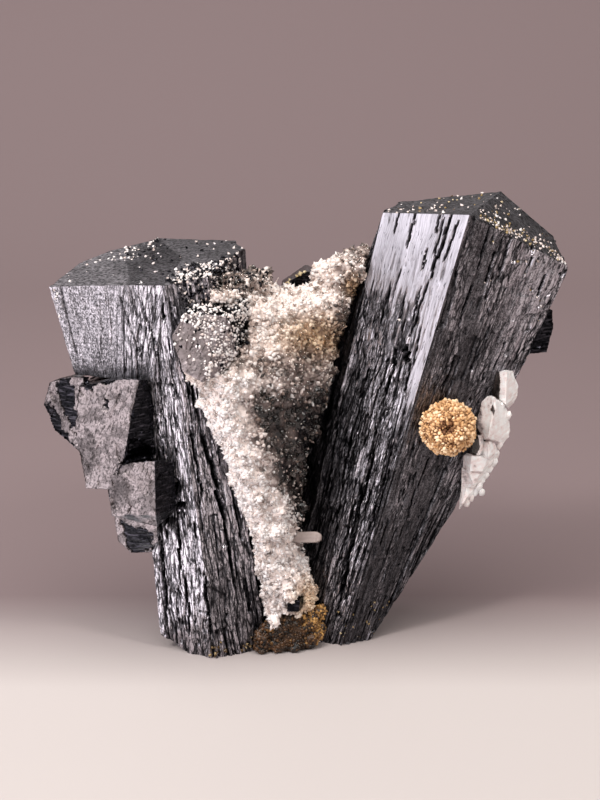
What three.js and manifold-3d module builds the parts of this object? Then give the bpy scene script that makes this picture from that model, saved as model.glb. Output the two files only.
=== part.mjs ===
// An ilvaite specimen: two stout black prisms stand in a V, grown together by a crust of
// fine quartz, with smaller crystals on and between them. It rests on its flat broken foot.
// Millimetres, +Z up. Seen from the front, +X is to the right and +Y goes away.
import * as THREE from 'three';
import { ConvexGeometry } from 'three/addons/geometries/ConvexGeometry.js';
import { mergeVertices } from 'three/addons/utils/BufferGeometryUtils.js';
import Module from 'manifold-3d';

const wasm = await Module();
wasm.setup();

// Driving dimensions, in millimetres.
const GAP = 0.3; // between neighbours
const OVERRUN = 4; // how far a prism runs past the planes that trim it
const CRUST_POINT = { width: 2.7, height: 1.5, count: 115 };
const BASE_LUMP = { width: 2.2, height: 0.9, count: 34, below: 4.4, before: -8 };
const BALL = { centre: [20.3, -8, 32.6], radius: 3.85, bump: 0.42, dimple: 1.3, dimpleRim: 0.72 };

// The growth strips on a prism face. A strip may change its depth at each of the levels along
// the prism, and those beside a corner are shallow, so that the corner stays crisp.
const STRIP = {
  width: 2,
  depth: 0.9,
  wall: 0.09, // half the width of the sloping wall between two strips
  levels: 8,
  staysChance: 0.55,
  shallowPower: 1.6, // above 1, more of the strips are shallow
  cornerShare: 0.35,
  slip: 0.38, // how far a change may lie from its level, in levels
};

// The left prism: [foot, top] of each upright edge, counter-clockwise seen from above.
const LEFT_COLUMN = [
  [[-19.6, -8.6, 0], [-23, -13, 53.9]],
  [[-11.6, -12.4, 0], [-17.7, -15, 54.6]],
  [[-4.6, -8.8, 0], [-12, -12.5, 54.6]],
  [[-3.3, 2, 0], [-7.4, 3.5, 54.8]],
  [[-5, 9, 0], [-9, 12, 53.7]],
  [[-13.5, 10.5, 0], [-20, 15, 53.3]],
  [[-19.2, 3, 0], [-25, 9, 53]],
];
// The wider block at its upper left, which ends in an overhang.
const LEFT_BLOCK = [
  [[-30.6, -8.2, 40.2], [-33.6, -9, 52.8]],
  [[-19.5, -13.6, 40.8], [-17.7, -15, 54.6]],
  [[-17, 0, 40.6], [-16, 0, 54]],
  [[-19, 13, 40.5], [-20, 15, 53.3]],
  [[-25, 9, 40.2], [-27, 9.5, 52.7]],
  [[-28, 4, 40], [-30.8, 3.5, 52.5]],
];
const LEFT_TOP = [[-17.7, -15, 54.6], [-7.4, 3.5, 55.2], [-30.8, 3.5, 52.8]];
const LEFT_TOP_BACK = [[-12, 3, 54.9], [-7, 12, 54], [-20, 14, 53.7]];
const LEFT_FOOT_CHIP = [[-19.7, -8, 2.2], [-16, -8.2, 0], [-19.6, 3, 2.4]];

// The right prism, the same way, with a low roof on top. Its last edge is that of a narrow
// face which widens downwards and looks into the V.
const RIGHT_PRISM = [
  [[-2.6, -3, 0], [11.2, 0, 61]],
  [[1.8, -6.4, 0], [15.4, -4, 61.8]],
  [[5.8, -8, 0], [22.5, -9.2, 62.7]],
  [[13.7, -4.4, 0], [37.4, 2, 52.6]],
  [[10.5, 5, 0], [34.5, 9, 52]],
  [[4, 8.3, 0], [28.2, 10, 61.6]],
  [[-2.3, 5.2, 0], [13.5, 8, 60]],
  [[-7.5, 2, 0], [11.3, 1.2, 60.9]],
];
const RIGHT_ROOF_LEFT = [[22.5, -9, 62.7], [28.2, 10, 61.6], [11.2, 0, 61]];
const RIGHT_ROOF_RIGHT = [[22.5, -9, 62.7], [37.4, 2, 52.6], [28.2, 10, 61.6]];
const RIGHT_TIP = [[37.2, 0, 52.9], [36.9, 2, 49], [36.6, 9, 52]];
const RIGHT_BREAK = [[22.9, -2.4, 19.8], [12.1, -4.6, 3.2], [20.5, 5.5, 19]];
const RIGHT_FOOT_CHIP = [[10, -5, 0], [12.4, -3.6, 3.4], [10.4, 5, 0]];

// Broken places on the faces: each is a wedge with these corners.
const NOTCHES = {
  left: [
    [[-13.6, -15.6, 33], [-12.2, -15, 33.6], [-12.6, -12.6, 33.4], [-10.9, -14.4, 20], [-9.6, -13.6, 21]],
    [[-18.6, -16, 27], [-17.2, -15.6, 26], [-17.6, -12.3, 26.5], [-17, -15, 12], [-16, -14, 13]],
    [[-10, -14.6, 8.5], [-6.6, -12.4, 10], [-7.4, -9.7, 7.6], [-9.4, -12.6, -2], [-6, -10, -2]],
    [[-27.4, -13.4, 47], [-24.6, -14.6, 47.4], [-26, -11.4, 46.6], [-26.4, -13, 44.6]],
  ],
  right: [
    [[13.2, -5.6, 44], [16.6, -8.4, 43.4], [15.3, -5.3, 45.6], [11.3, -5.4, 36.4], [13.2, -6.8, 36]],
    [[20.2, -10.6, 64], [22, -11, 64], [20.7, -7, 61], [18.4, -9.4, 53], [19.1, -9.4, 54]],
    [[24, -10, 61], [26, -9, 60.6], [25.4, -5.6, 58], [21.6, -9.6, 52], [22.6, -9, 51.6]],
    [[30.4, -5, 52], [33, -3.4, 52.4], [31.6, -0.6, 50], [25.6, -5.6, 38], [27, -5, 38.4]],
    [[8.4, -9.8, 22], [10.2, -10.4, 22], [9.5, -7, 21.6], [6.8, -9.6, 9], [7.6, -9.4, 9.4]],
    [[2.4, -7.4, 26], [4.4, -8.4, 26.4], [4, -5, 26], [1.4, -7.4, 12], [2.6, -8, 12.4]],
  ],
};

// Smaller crystals: corners of each convex crystal.
const MIDDLE_CRYSTAL = [
  [-17, -17.4, 48.3], [-15.2, -16.6, 51.3], [-12.8, -17.8, 42], [-15.6, -17.6, 43.6],
  [-9.5, -14.8, 50.4], [-8.4, -13.8, 45.4], [-10.6, -15.6, 42.4],
  [-6.6, -9.4, 51.6], [-6.4, -8.6, 46], [-13, -12, 52], [-12, -11.6, 43],
];
const SIDE_CRYSTALS = [
  [
    [-32.6, -9.4, 40.2], [-31, -10.4, 40.8], [-28.4, -10.8, 40.8], [-29.6, -10.4, 34.4], [-30.2, -9.4, 29.4],
    [-33.6, -8.4, 32.3], [-35.2, -7, 35.6], [-34.2, -8, 39.2],
    [-30.5, -3, 39], [-29, -2.6, 31], [-33.4, -3.2, 36],
  ],
  [
    [-29.8, -12, 39.9], [-24.3, -14.7, 41.7], [-21.3, -16.1, 42.2], [-22.8, -15.6, 36.4],
    [-23.7, -14.9, 30.3], [-25.4, -14, 27.9], [-26, -13.5, 25.5], [-29.2, -12, 25.1], [-30.6, -11.2, 33],
    [-19.2, -12.5, 41], [-18.6, -12, 35.1], [-19, -11.8, 29.4], [-28, -3, 39], [-27, -3, 27],
  ],
  [
    [-24.4, -15.2, 30], [-19.4, -16.2, 30.8], [-19.4, -16.2, 23], [-25.7, -13.2, 21.6],
    [-26.2, -12.6, 25.4], [-15.9, -12.4, 29.4], [-16, -12.2, 22.6], [-19.4, -13.6, 20.2],
    [-24, -5, 28], [-24, -5, 21],
  ],
  [
    [-25.6, -12.4, 22.4], [-19.5, -14.2, 22.6], [-19.3, -12.6, 17.6], [-20.4, -10.4, 15.1],
    [-23.5, -10.2, 15], [-25.3, -10.4, 16.9], [-19, -7, 22], [-24.4, -6, 21], [-22, -6, 16],
  ],
];
const REAR_CRYSTAL = [
  [-3.6, 3, 46], [-2.4, 2.2, 49.6], [-1.4, 2.2, 50.8], [0.9, 2, 52.1], [2.8, 2.2, 51.8], [3.2, 3, 47],
  [-2.6, 9.6, 48.8], [0.8, 10.6, 50.9], [2.6, 9.8, 50.4], [-3.4, 4, 42], [2.4, 4, 42], [-1, 10.6, 43],
];
const BACK_RIGHT_CRYSTAL = [
  [30.6, 5, 38.8], [35.2, 6.6, 38.8], [36, 7, 42.4], [35.9, 7.4, 45], [33.6, 6, 46.4],
  [34, 11.4, 39.4], [35.2, 11.6, 43.6], [31, 12, 45.6], [29, 10.6, 39.6], [30, 6, 45],
];
const DARK_CUBE = [
  [-1.9, -10.2, 6.2], [-0.1, -10.8, 6.4], [0.5, -9.2, 6.6], [-1.2, -8.5, 6.5],
  [-1.7, -10.2, 8], [0, -10.7, 8.2], [0.6, -9.1, 8.3], [-1.1, -8.5, 8.2],
];

// The quartz crust, as sections at rising heights. Each runs round the crust from its left
// edge on the left prism, over the front, to the right and round the back.
const CRUST_SECTIONS = [
  [[-5.6, -8.4, 3], [-3.4, -9.8, 3], [1, -8.8, 3], [3, -6.8, 3], [-2.6, -2.4, 3]],
  [[-6, -8.8, 8], [-3.6, -10.6, 8], [0.8, -9.6, 8], [2.6, -6.2, 8], [-2.8, -1.4, 8]],
  [[-6.8, -9.2, 14], [-4.6, -11.4, 14], [-1.8, -9.4, 14], [-0.2, -5, 14], [-0.6, 1, 14], [-3, 3, 14]],
  [[-7.6, -9.8, 20], [-5.6, -12.2, 20], [-2.4, -10, 20], [-0.6, -5, 20], [0.6, 4, 20], [-3, 7, 20]],
  [[-10.2, -11, 26], [-7.2, -13.4, 26], [-3, -11, 26], [-0.1, -4.8, 26], [2, 5.5, 26], [-3.6, 8, 26]],
  [[-12.6, -12, 33], [-8.6, -14.6, 33], [-3, -11, 33], [2.4, -4.4, 33], [4, 6, 33], [-4, 9, 33]],
  [
    [-15, -13.4, 39.6], [-9.6, -15.2, 39.6], [-2.4, -10.4, 39.6],
    [3, -3.6, 39.6], [5.8, 6.5, 39.6], [-4, 10, 39.6],
  ],
  [[-15.4, -13.8, 45], [-9.4, -14.2, 45], [-1.4, -9, 45], [4.4, -3, 45], [7.6, 6.5, 45], [-4, 10, 45]],
  [[-12, -12, 49.4], [-7, -10, 50], [-1.4, -4.4, 50.4], [6.6, -2.6, 49.4], [10, 6, 50], [-4, 8.6, 48.6]],
];
const CRUST_SHOULDER = [
  [1.4, -0.6, 51], [2.2, -1, 53.2], [3.8, -1.6, 54], [5.9, -1.6, 54.8], [8.8, -2, 54.4],
  [10.4, 3, 54], [6.4, 5.8, 53.8], [3, 5, 52], [6.4, 0, 47], [3, -2, 47],
];
const CRUST_LEFT_BAND = [
  [-14.4, -13.8, 51.6], [-9.4, -12.8, 52.6], [-7, -7, 53.6], [-6.4, 2, 52.5], [-12, -8, 50],
  [-4.4, -5, 51.6], [-4.2, 3, 51], [-9, -13.8, 49],
];
const STAINED_BASE = [
  [-7, -10.2, 0.3], [-3, -10.6, 0.3], [2.2, -8.6, 0.5], [3.6, -7.4, 2.4], [3.4, -7, 5.8],
  [0.8, -8.6, 5.6], [-3.6, -9.9, 5.2], [-6.4, -10.2, 3], [-2.8, -3.6, 0.4], [-2.8, -3.6, 5],
];

// The clear quartz on the right: [foot, tip, radius] of each crystal.
const QUARTZ_CLUSTER = [
  [[27.6, -2.4, 33.4], [29, -1.4, 38.8], 1.75],
  [[26.8, -3.4, 30.4], [27.6, -2.8, 36.8], 1.6],
  [[25.6, -3.6, 28.6], [26.2, -4, 34.6], 1.9],
  [[27.6, -2, 28], [29.6, -1.6, 33], 1.5],
  [[24.6, -3.8, 24.4], [24.8, -4.4, 31], 1.7],
  [[26.4, -2.6, 24.4], [28.2, -2.4, 29.4], 1.6],
  [[23.6, -3.4, 20.6], [23.6, -4, 26.6], 1.3],
  [[24.8, -2.8, 21.4], [26.4, -2.8, 26.2], 1.4],
  [[24.2, -2.8, 23], [23, -3.2, 19.2], 1.1],
];
const NEEDLE = { foot: [-2.6, -6.4, 15.8], tip: [3, -7.6, 16.4], radius: 0.95 };

const SEEDS = { column: 101, block: 202, right: 303, crust: 404, base: 505, ball: 606 };

const LOOKS = {
  ilvaite: { color: '#26272b', roughness: 0.42, metalness: 0 },
  quartz: { color: '#ded6cd', roughness: 0.25, metalness: 0 },
  stained: { color: '#a9824c', roughness: 0.6, metalness: 0 },
  ball: { color: '#c79d64', roughness: 0.85, metalness: 0 },
};

// Repeatable random numbers between low and high.
function randomSource(seed) {
  const modulus = 2147483647;
  const factor = 16807;
  let state = seed;
  return (low = 0, high = 1) => {
    state = (state * factor) % modulus;
    return low + ((high - low) * state) / modulus;
  };
}

const vector = (point) => new THREE.Vector3(...point);

// A closed three.js geometry as a solid that can be joined and cut.
function solidFrom(geometry) {
  const bare = geometry.index ? geometry.clone() : geometry;
  bare.deleteAttribute('normal');
  bare.deleteAttribute('uv');
  const merged = mergeVertices(bare, 1e-4);
  return new wasm.Manifold(
    new wasm.Mesh({
      numProp: 3,
      vertProperties: new Float32Array(merged.attributes.position.array),
      triVerts: new Uint32Array(merged.index.array),
    }),
  );
}

// The convex crystal with these corners, moved out by margin on all sides.
function hull(points, margin = 0) {
  const corners = [];
  for (const point of points) {
    for (let i = 0; i < (margin ? 8 : 1); i += 1) {
      const side = new THREE.Vector3(i & 1 ? 1 : -1, i & 2 ? 1 : -1, i & 4 ? 1 : -1);
      corners.push(vector(point).addScaledVector(side, margin));
    }
  }
  return solidFrom(new ConvexGeometry(corners));
}

const joined = (solids) => solids.reduce((whole, solid) => whole.add(solid));
const without = (solid, cutters) => cutters.reduce((rest, cutter) => rest.subtract(cutter), solid);

// Cuts away all that lies beyond the plane through three points, on the side of outward.
function trimmed(solid, points, outward) {
  const [a, b, c] = points.map(vector);
  const normal = b.clone().sub(a).cross(c.clone().sub(a)).normalize();
  if (normal.dot(vector(outward)) < 0) normal.negate();
  const size = 160;
  const box = new THREE.BoxGeometry(size, size, size);
  box.translate(0, 0, size / 2);
  box.applyQuaternion(new THREE.Quaternion().setFromUnitVectors(new THREE.Vector3(0, 0, 1), normal));
  box.translate(a.x, a.y, a.z);
  return solid.subtract(solidFrom(box));
}

const onEdge = (edge, t) => vector(edge[0]).lerp(vector(edge[1]), t);

// One prism face in strips of unequal width, each at a depth of its own that changes
// now and then along the prism.
function faceStrips(left, right, random) {
  const width = onEdge(left, 0.5).distanceTo(onEdge(right, 0.5));
  const count = Math.max(2, Math.round(width / STRIP.width));
  const weights = Array.from({ length: count }, () => random(0.5, 1.6));
  const total = weights.reduce((sum, weight) => sum + weight);
  const wall = STRIP.wall / width;
  let passed = 0;
  return weights.map((weight, index) => {
    const atCorner = index === 0 || index === count - 1;
    const deepest = STRIP.depth * (atCorner ? STRIP.cornerShare : 1);
    const depths = [];
    for (let level = 0; level < STRIP.levels; level += 1) {
      const stays = level > 0 && random() < STRIP.staysChance;
      depths.push(stays ? depths[level - 1] : random() ** STRIP.shallowPower * deepest);
    }
    const start = passed / total + wall;
    passed += weight;
    const slip = random(-STRIP.slip, STRIP.slip);
    return { left, right, start, end: passed / total - wall, depths, slip };
  });
}

// A prism whose faces are cut into such strips, running past both ends.
function striatedPrism(edges, seed) {
  const random = randomSource(seed);
  const height = edges[0][1][2] - edges[0][0][2];
  const past = OVERRUN / height;
  const strips = edges.flatMap((edge, i) => faceStrips(edge, edges[(i + 1) % edges.length], random));
  const positions = [];
  const last = STRIP.levels - 1;
  for (let level = 0; level <= last; level += 1) {
    for (const strip of strips) {
      const place = level > 0 && level < last ? level + strip.slip : level;
      const t = (place / last) * (1 + 2 * past) - past;
      const from = onEdge(strip.left, t);
      const to = onEdge(strip.right, t);
      const along = onEdge(strip.left, 1).sub(onEdge(strip.left, 0));
      const inward = along.cross(to.clone().sub(from)).normalize();
      for (const across of [strip.start, strip.end]) {
        const point = from.clone().lerp(to, across).addScaledVector(inward, strip.depths[level]);
        positions.push(point.x, point.y, point.z);
      }
    }
  }
  return solidFrom(ringsGeometry(positions, 2 * strips.length));
}

// Rings of points of one length, one above another, as a closed skin with fan-shaped ends.
function ringsGeometry(positions, ringLength) {
  const rings = positions.length / 3 / ringLength;
  const indices = [];
  for (let ring = 0; ring + 1 < rings; ring += 1) {
    for (let i = 0; i < ringLength; i += 1) {
      const a = ring * ringLength + i;
      const b = ring * ringLength + ((i + 1) % ringLength);
      indices.push(a, b, b + ringLength, a, b + ringLength, a + ringLength);
    }
  }
  for (const end of [0, rings - 1]) {
    const centre = new THREE.Vector3();
    for (let i = 0; i < ringLength; i += 1) {
      const at = 3 * (end * ringLength + i);
      centre.add(new THREE.Vector3(positions[at], positions[at + 1], positions[at + 2]));
    }
    centre.divideScalar(ringLength);
    positions.push(centre.x, centre.y, centre.z);
    const hub = positions.length / 3 - 1;
    for (let i = 0; i < ringLength; i += 1) {
      const a = end * ringLength + i;
      const b = end * ringLength + ((i + 1) % ringLength);
      indices.push(...(end === 0 ? [b, a, hub] : [a, b, hub]));
    }
  }
  const geometry = new THREE.BufferGeometry();
  geometry.setAttribute('position', new THREE.Float32BufferAttribute(positions, 3));
  geometry.setIndex(indices);
  return geometry;
}

// A six-sided quartz crystal from its foot to its tip: a prism that narrows a little,
// with a pointed end.
function quartzCrystal(foot, tip, radius, turn = 0) {
  const axis = vector(tip).sub(vector(foot));
  const length = axis.length();
  const point = Math.min(1.5 * radius, 0.6 * length);
  const spin = new THREE.Quaternion().setFromUnitVectors(new THREE.Vector3(0, 0, 1), axis.normalize());
  const corners = [vector(tip)];
  for (let i = 0; i < 6; i += 1) {
    const angle = turn + (i * Math.PI) / 3;
    for (const [reach, height] of [[radius, 0], [radius * 0.88, length - point]]) {
      const corner = new THREE.Vector3(Math.cos(angle) * reach, Math.sin(angle) * reach, height);
      corners.push(corner.applyQuaternion(spin).add(vector(foot)));
    }
  }
  return solidFrom(new ConvexGeometry(corners));
}

// Small quartz points that stand on the skin of a solid, spread evenly over its area,
// wherever keeps says that the spot may carry one.
function pointsOn(solid, size, seed, keeps = () => true) {
  const random = randomSource(seed);
  const mesh = solid.getMesh();
  const corner = (i) => new THREE.Vector3().fromArray(mesh.vertProperties, i * mesh.numProp);
  const triangles = [];
  let area = 0;
  for (let i = 0; i < mesh.triVerts.length; i += 3) {
    const [a, b, c] = [0, 1, 2].map((k) => corner(mesh.triVerts[i + k]));
    const triangle = new THREE.Triangle(a, b, c);
    area += triangle.getArea();
    triangles.push({ triangle, reached: area });
  }
  const step = area / size.count;
  const points = [];
  for (let i = 0; i < size.count; i += 1) {
    const { triangle } = triangles.find(({ reached }) => reached >= (i + random(0.2, 0.8)) * step);
    const u = random();
    const v = random();
    const [s, t] = u + v > 1 ? [1 - u, 1 - v] : [u, v];
    const side = triangle.b.clone().sub(triangle.a).multiplyScalar(s);
    const foot = triangle.a.clone().add(side).add(triangle.c.clone().sub(triangle.a).multiplyScalar(t));
    const lean = new THREE.Vector3(random(-0.7, 0.7), random(-0.7, 0.7), random(-0.7, 0.7));
    const out = triangle.getNormal(new THREE.Vector3()).add(lean).normalize();
    const scale = random(0.6, 1.15);
    const tip = foot.clone().addScaledVector(out, size.height * scale);
    if (!keeps(foot)) continue;
    foot.addScaledVector(out, -size.height * 0.7);
    const turn = random(0, Math.PI / 3);
    points.push(quartzCrystal(foot.toArray(), tip.toArray(), (size.width / 2) * scale, turn));
  }
  return points;
}

const FLOOR = [[0, 0, 0], [1, 0, 0], [0, 1, 0]];

function leftCrystal() {
  const column = striatedPrism(LEFT_COLUMN, SEEDS.column);
  const block = striatedPrism(LEFT_BLOCK, SEEDS.block);
  const blockFloor = LEFT_BLOCK.map(([foot]) => foot);
  let solid = column.add(trimmed(block, [blockFloor[0], blockFloor[1], blockFloor[3]], [0, 0, -1]));
  solid = trimmed(solid, LEFT_TOP, [0, 0, 1]);
  solid = trimmed(solid, LEFT_TOP_BACK, [0, 0, 1]);
  solid = trimmed(solid, FLOOR, [0, 0, -1]);
  solid = trimmed(solid, LEFT_FOOT_CHIP, [-1, 0, -1]);
  return without(solid, NOTCHES.left.map((corners) => hull(corners)));
}

function rightCrystal() {
  let solid = striatedPrism(RIGHT_PRISM, SEEDS.right);
  solid = trimmed(solid, RIGHT_ROOF_LEFT, [0, 0, 1]);
  solid = trimmed(solid, RIGHT_ROOF_RIGHT, [0, 0, 1]);
  solid = trimmed(solid, RIGHT_TIP, [1, 0, 0]);
  solid = trimmed(solid, RIGHT_BREAK, [1, 0, -1]);
  solid = trimmed(solid, RIGHT_FOOT_CHIP, [1, 0, -1]);
  solid = trimmed(solid, FLOOR, [0, 0, -1]);
  const leftSpace = hull(LEFT_COLUMN.flat(), GAP);
  return without(solid, [...NOTCHES.right.map((corners) => hull(corners)), leftSpace]);
}

// The space that the two prisms take up, with the gap that neighbours keep.
const prismSpace = [
  hull(LEFT_COLUMN.flat(), GAP),
  hull(LEFT_BLOCK.flat(), GAP),
  hull(RIGHT_PRISM.flat(), GAP),
];

function crust() {
  const layers = CRUST_SECTIONS.slice(1).map((section, i) => hull([...CRUST_SECTIONS[i], ...section]));
  const body = joined([...layers, hull(CRUST_SHOULDER), hull(CRUST_LEFT_BAND)]);
  const visible = without(body, prismSpace);
  const points = pointsOn(visible, CRUST_POINT, SEEDS.crust);
  const smaller = [MIDDLE_CRYSTAL, REAR_CRYSTAL, DARK_CUBE, STAINED_BASE];
  const neighbours = smaller.map((corners) => hull(corners, GAP));
  const needleRoom = quartzCrystal(NEEDLE.foot, NEEDLE.tip, NEEDLE.radius + GAP);
  return without(joined([body, ...points]), [...prismSpace, ...neighbours, needleRoom]);
}

function stainedBase() {
  const body = hull(STAINED_BASE);
  const inFront = ({ y, z }) => y < BASE_LUMP.before && z < BASE_LUMP.below;
  const lumps = pointsOn(body, BASE_LUMP, SEEDS.base, inFront);
  const solid = trimmed(joined([body, ...lumps]), [[0, 0, 0.3], [1, 0, 0.3], [0, 1, 0.3]], [0, 0, -1]);
  return without(solid, [...prismSpace, hull(DARK_CUBE, GAP)]);
}

function sideCrystals() {
  return without(joined(SIDE_CRYSTALS.map((corners) => hull(corners))), prismSpace);
}

function quartzCluster() {
  return without(joined(QUARTZ_CLUSTER.map((crystal) => quartzCrystal(...crystal))), prismSpace);
}

function brownBall() {
  const random = randomSource(SEEDS.ball);
  const sphere = new THREE.IcosahedronGeometry(BALL.radius, 4);
  sphere.deleteAttribute('normal');
  sphere.deleteAttribute('uv');
  const geometry = mergeVertices(sphere);
  const position = geometry.attributes.position;
  const point = new THREE.Vector3();
  for (let i = 0; i < position.count; i += 1) {
    point.fromBufferAttribute(position, i);
    const out = point.clone().normalize();
    const facing = Math.max(0, -out.y - BALL.dimpleRim) / (1 - BALL.dimpleRim);
    point.addScaledVector(out, random(-BALL.bump, BALL.bump) - BALL.dimple * facing);
    position.setXYZ(i, point.x, point.y, point.z);
  }
  geometry.translate(...BALL.centre);
  return without(solidFrom(geometry), [prismSpace[2]]);
}

// Keeps the largest connected body of a mesh and drops the crumbs that cuts leave loose.
function largestBody(mesh) {
  const parent = Array.from({ length: mesh.vertProperties.length / mesh.numProp }, (_, i) => i);
  const root = (i) => {
    let at = i;
    while (parent[at] !== at) at = parent[at];
    parent[i] = at;
    return at;
  };
  for (let i = 0; i < mesh.triVerts.length; i += 3) {
    parent[root(mesh.triVerts[i])] = root(mesh.triVerts[i + 1]);
    parent[root(mesh.triVerts[i + 1])] = root(mesh.triVerts[i + 2]);
  }
  const bodies = new Map();
  for (let i = 0; i < mesh.triVerts.length; i += 3) {
    const key = root(mesh.triVerts[i]);
    if (!bodies.has(key)) bodies.set(key, []);
    bodies.get(key).push(...mesh.triVerts.slice(i, i + 3));
  }
  return [...bodies.values()].reduce((most, body) => (body.length > most.length ? body : most));
}

function meshOf(name, solid, look) {
  const mesh = solid.getMesh();
  const geometry = new THREE.BufferGeometry();
  geometry.setAttribute('position', new THREE.Float32BufferAttribute(mesh.vertProperties, mesh.numProp));
  geometry.setIndex(largestBody(mesh));
  geometry.computeVertexNormals();
  const body = new THREE.Mesh(geometry, new THREE.MeshStandardMaterial({ ...look, flatShading: true }));
  body.name = name;
  return body;
}

const { ilvaite, quartz, stained, ball } = LOOKS;
const specimen = new THREE.Group();
specimen.add(
  meshOf('left_crystal', leftCrystal(), ilvaite),
  meshOf('right_crystal', rightCrystal(), ilvaite),
  meshOf('middle_crystal', without(hull(MIDDLE_CRYSTAL), prismSpace), ilvaite),
  meshOf('side_crystals', sideCrystals(), ilvaite),
  meshOf('rear_crystal', without(hull(REAR_CRYSTAL), prismSpace), ilvaite),
  meshOf('back_right_crystal', without(hull(BACK_RIGHT_CRYSTAL), prismSpace), ilvaite),
  meshOf('quartz_druse', crust(), quartz),
  meshOf('stained_base', stainedBase(), stained),
  meshOf('quartz_cluster', quartzCluster(), quartz),
  meshOf('clear_needle', quartzCrystal(NEEDLE.foot, NEEDLE.tip, NEEDLE.radius), quartz),
  meshOf('brown_ball', brownBall(), ball),
  meshOf('dark_cube', hull(DARK_CUBE), ilvaite),
);

// The middle of the box that holds the specimen comes over the origin.
const box = new THREE.Box3().setFromObject(specimen, true);
const middle = box.getCenter(new THREE.Vector3());
specimen.position.set(-middle.x, -middle.y, -box.min.z);

export default specimen;
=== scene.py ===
# %% [markdown]
# # An ilvaite specimen with quartz
# Two black, deeply striated ilvaite prisms stand in a V. A sugary crust of quartz has grown
# between them, with smaller black crystals, a cluster of clear quartz, one granular brown ball
# and a brown, iron-stained foot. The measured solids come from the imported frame. Each lesson
# below dresses one of them with the relief and the finish of the real mineral.

# %% Load the frame
import math

import bpy
import numpy as np
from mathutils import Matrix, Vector
from mathutils.bvhtree import BVHTree
from mathutils.kdtree import KDTree


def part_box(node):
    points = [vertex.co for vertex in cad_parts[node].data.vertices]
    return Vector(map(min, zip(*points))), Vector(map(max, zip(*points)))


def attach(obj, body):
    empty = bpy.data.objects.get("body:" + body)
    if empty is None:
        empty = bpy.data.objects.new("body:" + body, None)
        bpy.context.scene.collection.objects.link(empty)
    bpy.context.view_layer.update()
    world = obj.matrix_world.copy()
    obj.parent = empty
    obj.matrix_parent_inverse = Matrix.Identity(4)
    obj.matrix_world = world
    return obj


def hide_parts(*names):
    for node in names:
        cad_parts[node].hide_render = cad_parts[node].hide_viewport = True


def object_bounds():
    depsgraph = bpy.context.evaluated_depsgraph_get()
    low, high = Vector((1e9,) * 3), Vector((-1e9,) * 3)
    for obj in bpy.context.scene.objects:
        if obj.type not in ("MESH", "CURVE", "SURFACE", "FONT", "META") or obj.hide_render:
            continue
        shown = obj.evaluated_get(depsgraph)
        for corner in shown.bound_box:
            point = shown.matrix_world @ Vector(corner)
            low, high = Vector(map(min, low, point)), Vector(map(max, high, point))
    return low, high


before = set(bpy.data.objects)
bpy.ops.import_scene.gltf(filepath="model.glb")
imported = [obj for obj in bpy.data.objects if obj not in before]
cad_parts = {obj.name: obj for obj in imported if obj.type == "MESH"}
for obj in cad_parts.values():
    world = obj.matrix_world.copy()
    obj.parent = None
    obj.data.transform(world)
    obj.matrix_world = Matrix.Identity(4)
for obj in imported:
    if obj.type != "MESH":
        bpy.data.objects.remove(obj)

MM = 0.001
cad_low, cad_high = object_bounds()
print("frame box in mm:", [round(v / MM, 1) for v in (cad_high - cad_low)])

# %% [markdown]
# ## Where things are
# The solids were drawn in millimetres about a point near the middle of the foot, and then
# moved so that their box stands on the origin. The tiny dark crystal gives that move back:
# its lowest corner is known in both. Every place below is written in drawing millimetres.

# %% Places in the frame
DARK_CUBE_LOW = Vector((-1.9, -10.8, 6.2))
DRAWING_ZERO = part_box("dark_cube")[0] - DARK_CUBE_LOW * MM
pieces_of = {"ilvaite": [], "quartz": [], "stained_quartz": [], "brown_ball": []}


def place(x, y, z):
    """A point of the drawing, in metres in the frame."""
    return Vector((x, y, z)) * MM + DRAWING_ZERO


def places(points):
    """Many points of the drawing, in metres in the frame."""
    return np.asarray(points, float) * MM + np.array(DRAWING_ZERO)


def drawn(points):
    """Many points of the frame, in millimetres of the drawing."""
    return (np.asarray(points, float) - np.array(DRAWING_ZERO)) / MM


def stands_for(node, piece, slot):
    """Notes that a piece replaces a node, and which slot it is made of."""
    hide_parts(node)
    pieces_of[slot].append(piece)


def unit(vectors):
    return vectors / np.maximum(np.linalg.norm(vectors, axis=-1, keepdims=True), 1e-12)


def ease(low, high, values):
    """0 at low, 1 at high, and a smooth rise between them. low may be above high."""
    share = np.clip((values - low) / (high - low), 0, 1)
    return share * share * (3 - 2 * share)


print("drawing zero in mm:", [round(v / MM, 2) for v in DRAWING_ZERO])

# %% [markdown]
# ## The camera
# The camera aims at the crystals' middle and looks down by 18 degrees, so the top faces show
# as thin slivers. A long lens from 320 mm keeps the prisms' sides nearly parallel.

# %% Camera
VIEW_HEIGHT = 34
VIEW_DISTANCE = 320
VIEW_DOWN = math.radians(18)
MM_PER_PIXEL = 0.14
IMAGE_HEIGHT = 800
SENSOR = 36

target = place(0, 0, VIEW_HEIGHT)
away = Vector((0, -math.cos(VIEW_DOWN), math.sin(VIEW_DOWN)))
camera_data = bpy.data.cameras.new("camera")
camera_data.sensor_width = SENSOR
camera_data.lens = SENSOR * VIEW_DISTANCE / (MM_PER_PIXEL * IMAGE_HEIGHT)
camera_data.clip_start = 0.01
camera_data.clip_end = 20
camera = bpy.data.objects.new("camera", camera_data)
camera.location = target + away * VIEW_DISTANCE * MM
camera.rotation_mode = "QUATERNION"
camera.rotation_quaternion = (-away).to_track_quat("-Z", "Y")
bpy.context.scene.collection.objects.link(camera)
bpy.context.scene.camera = camera
print("lens in mm:", round(camera_data.lens, 1))

# %% [markdown]
# ## Making materials
# One function turns an sRGB hex colour to linear light, and one adds a node with its settings
# and its links. Patterns are laid over each other as masks. The rest is plain wiring.

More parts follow.
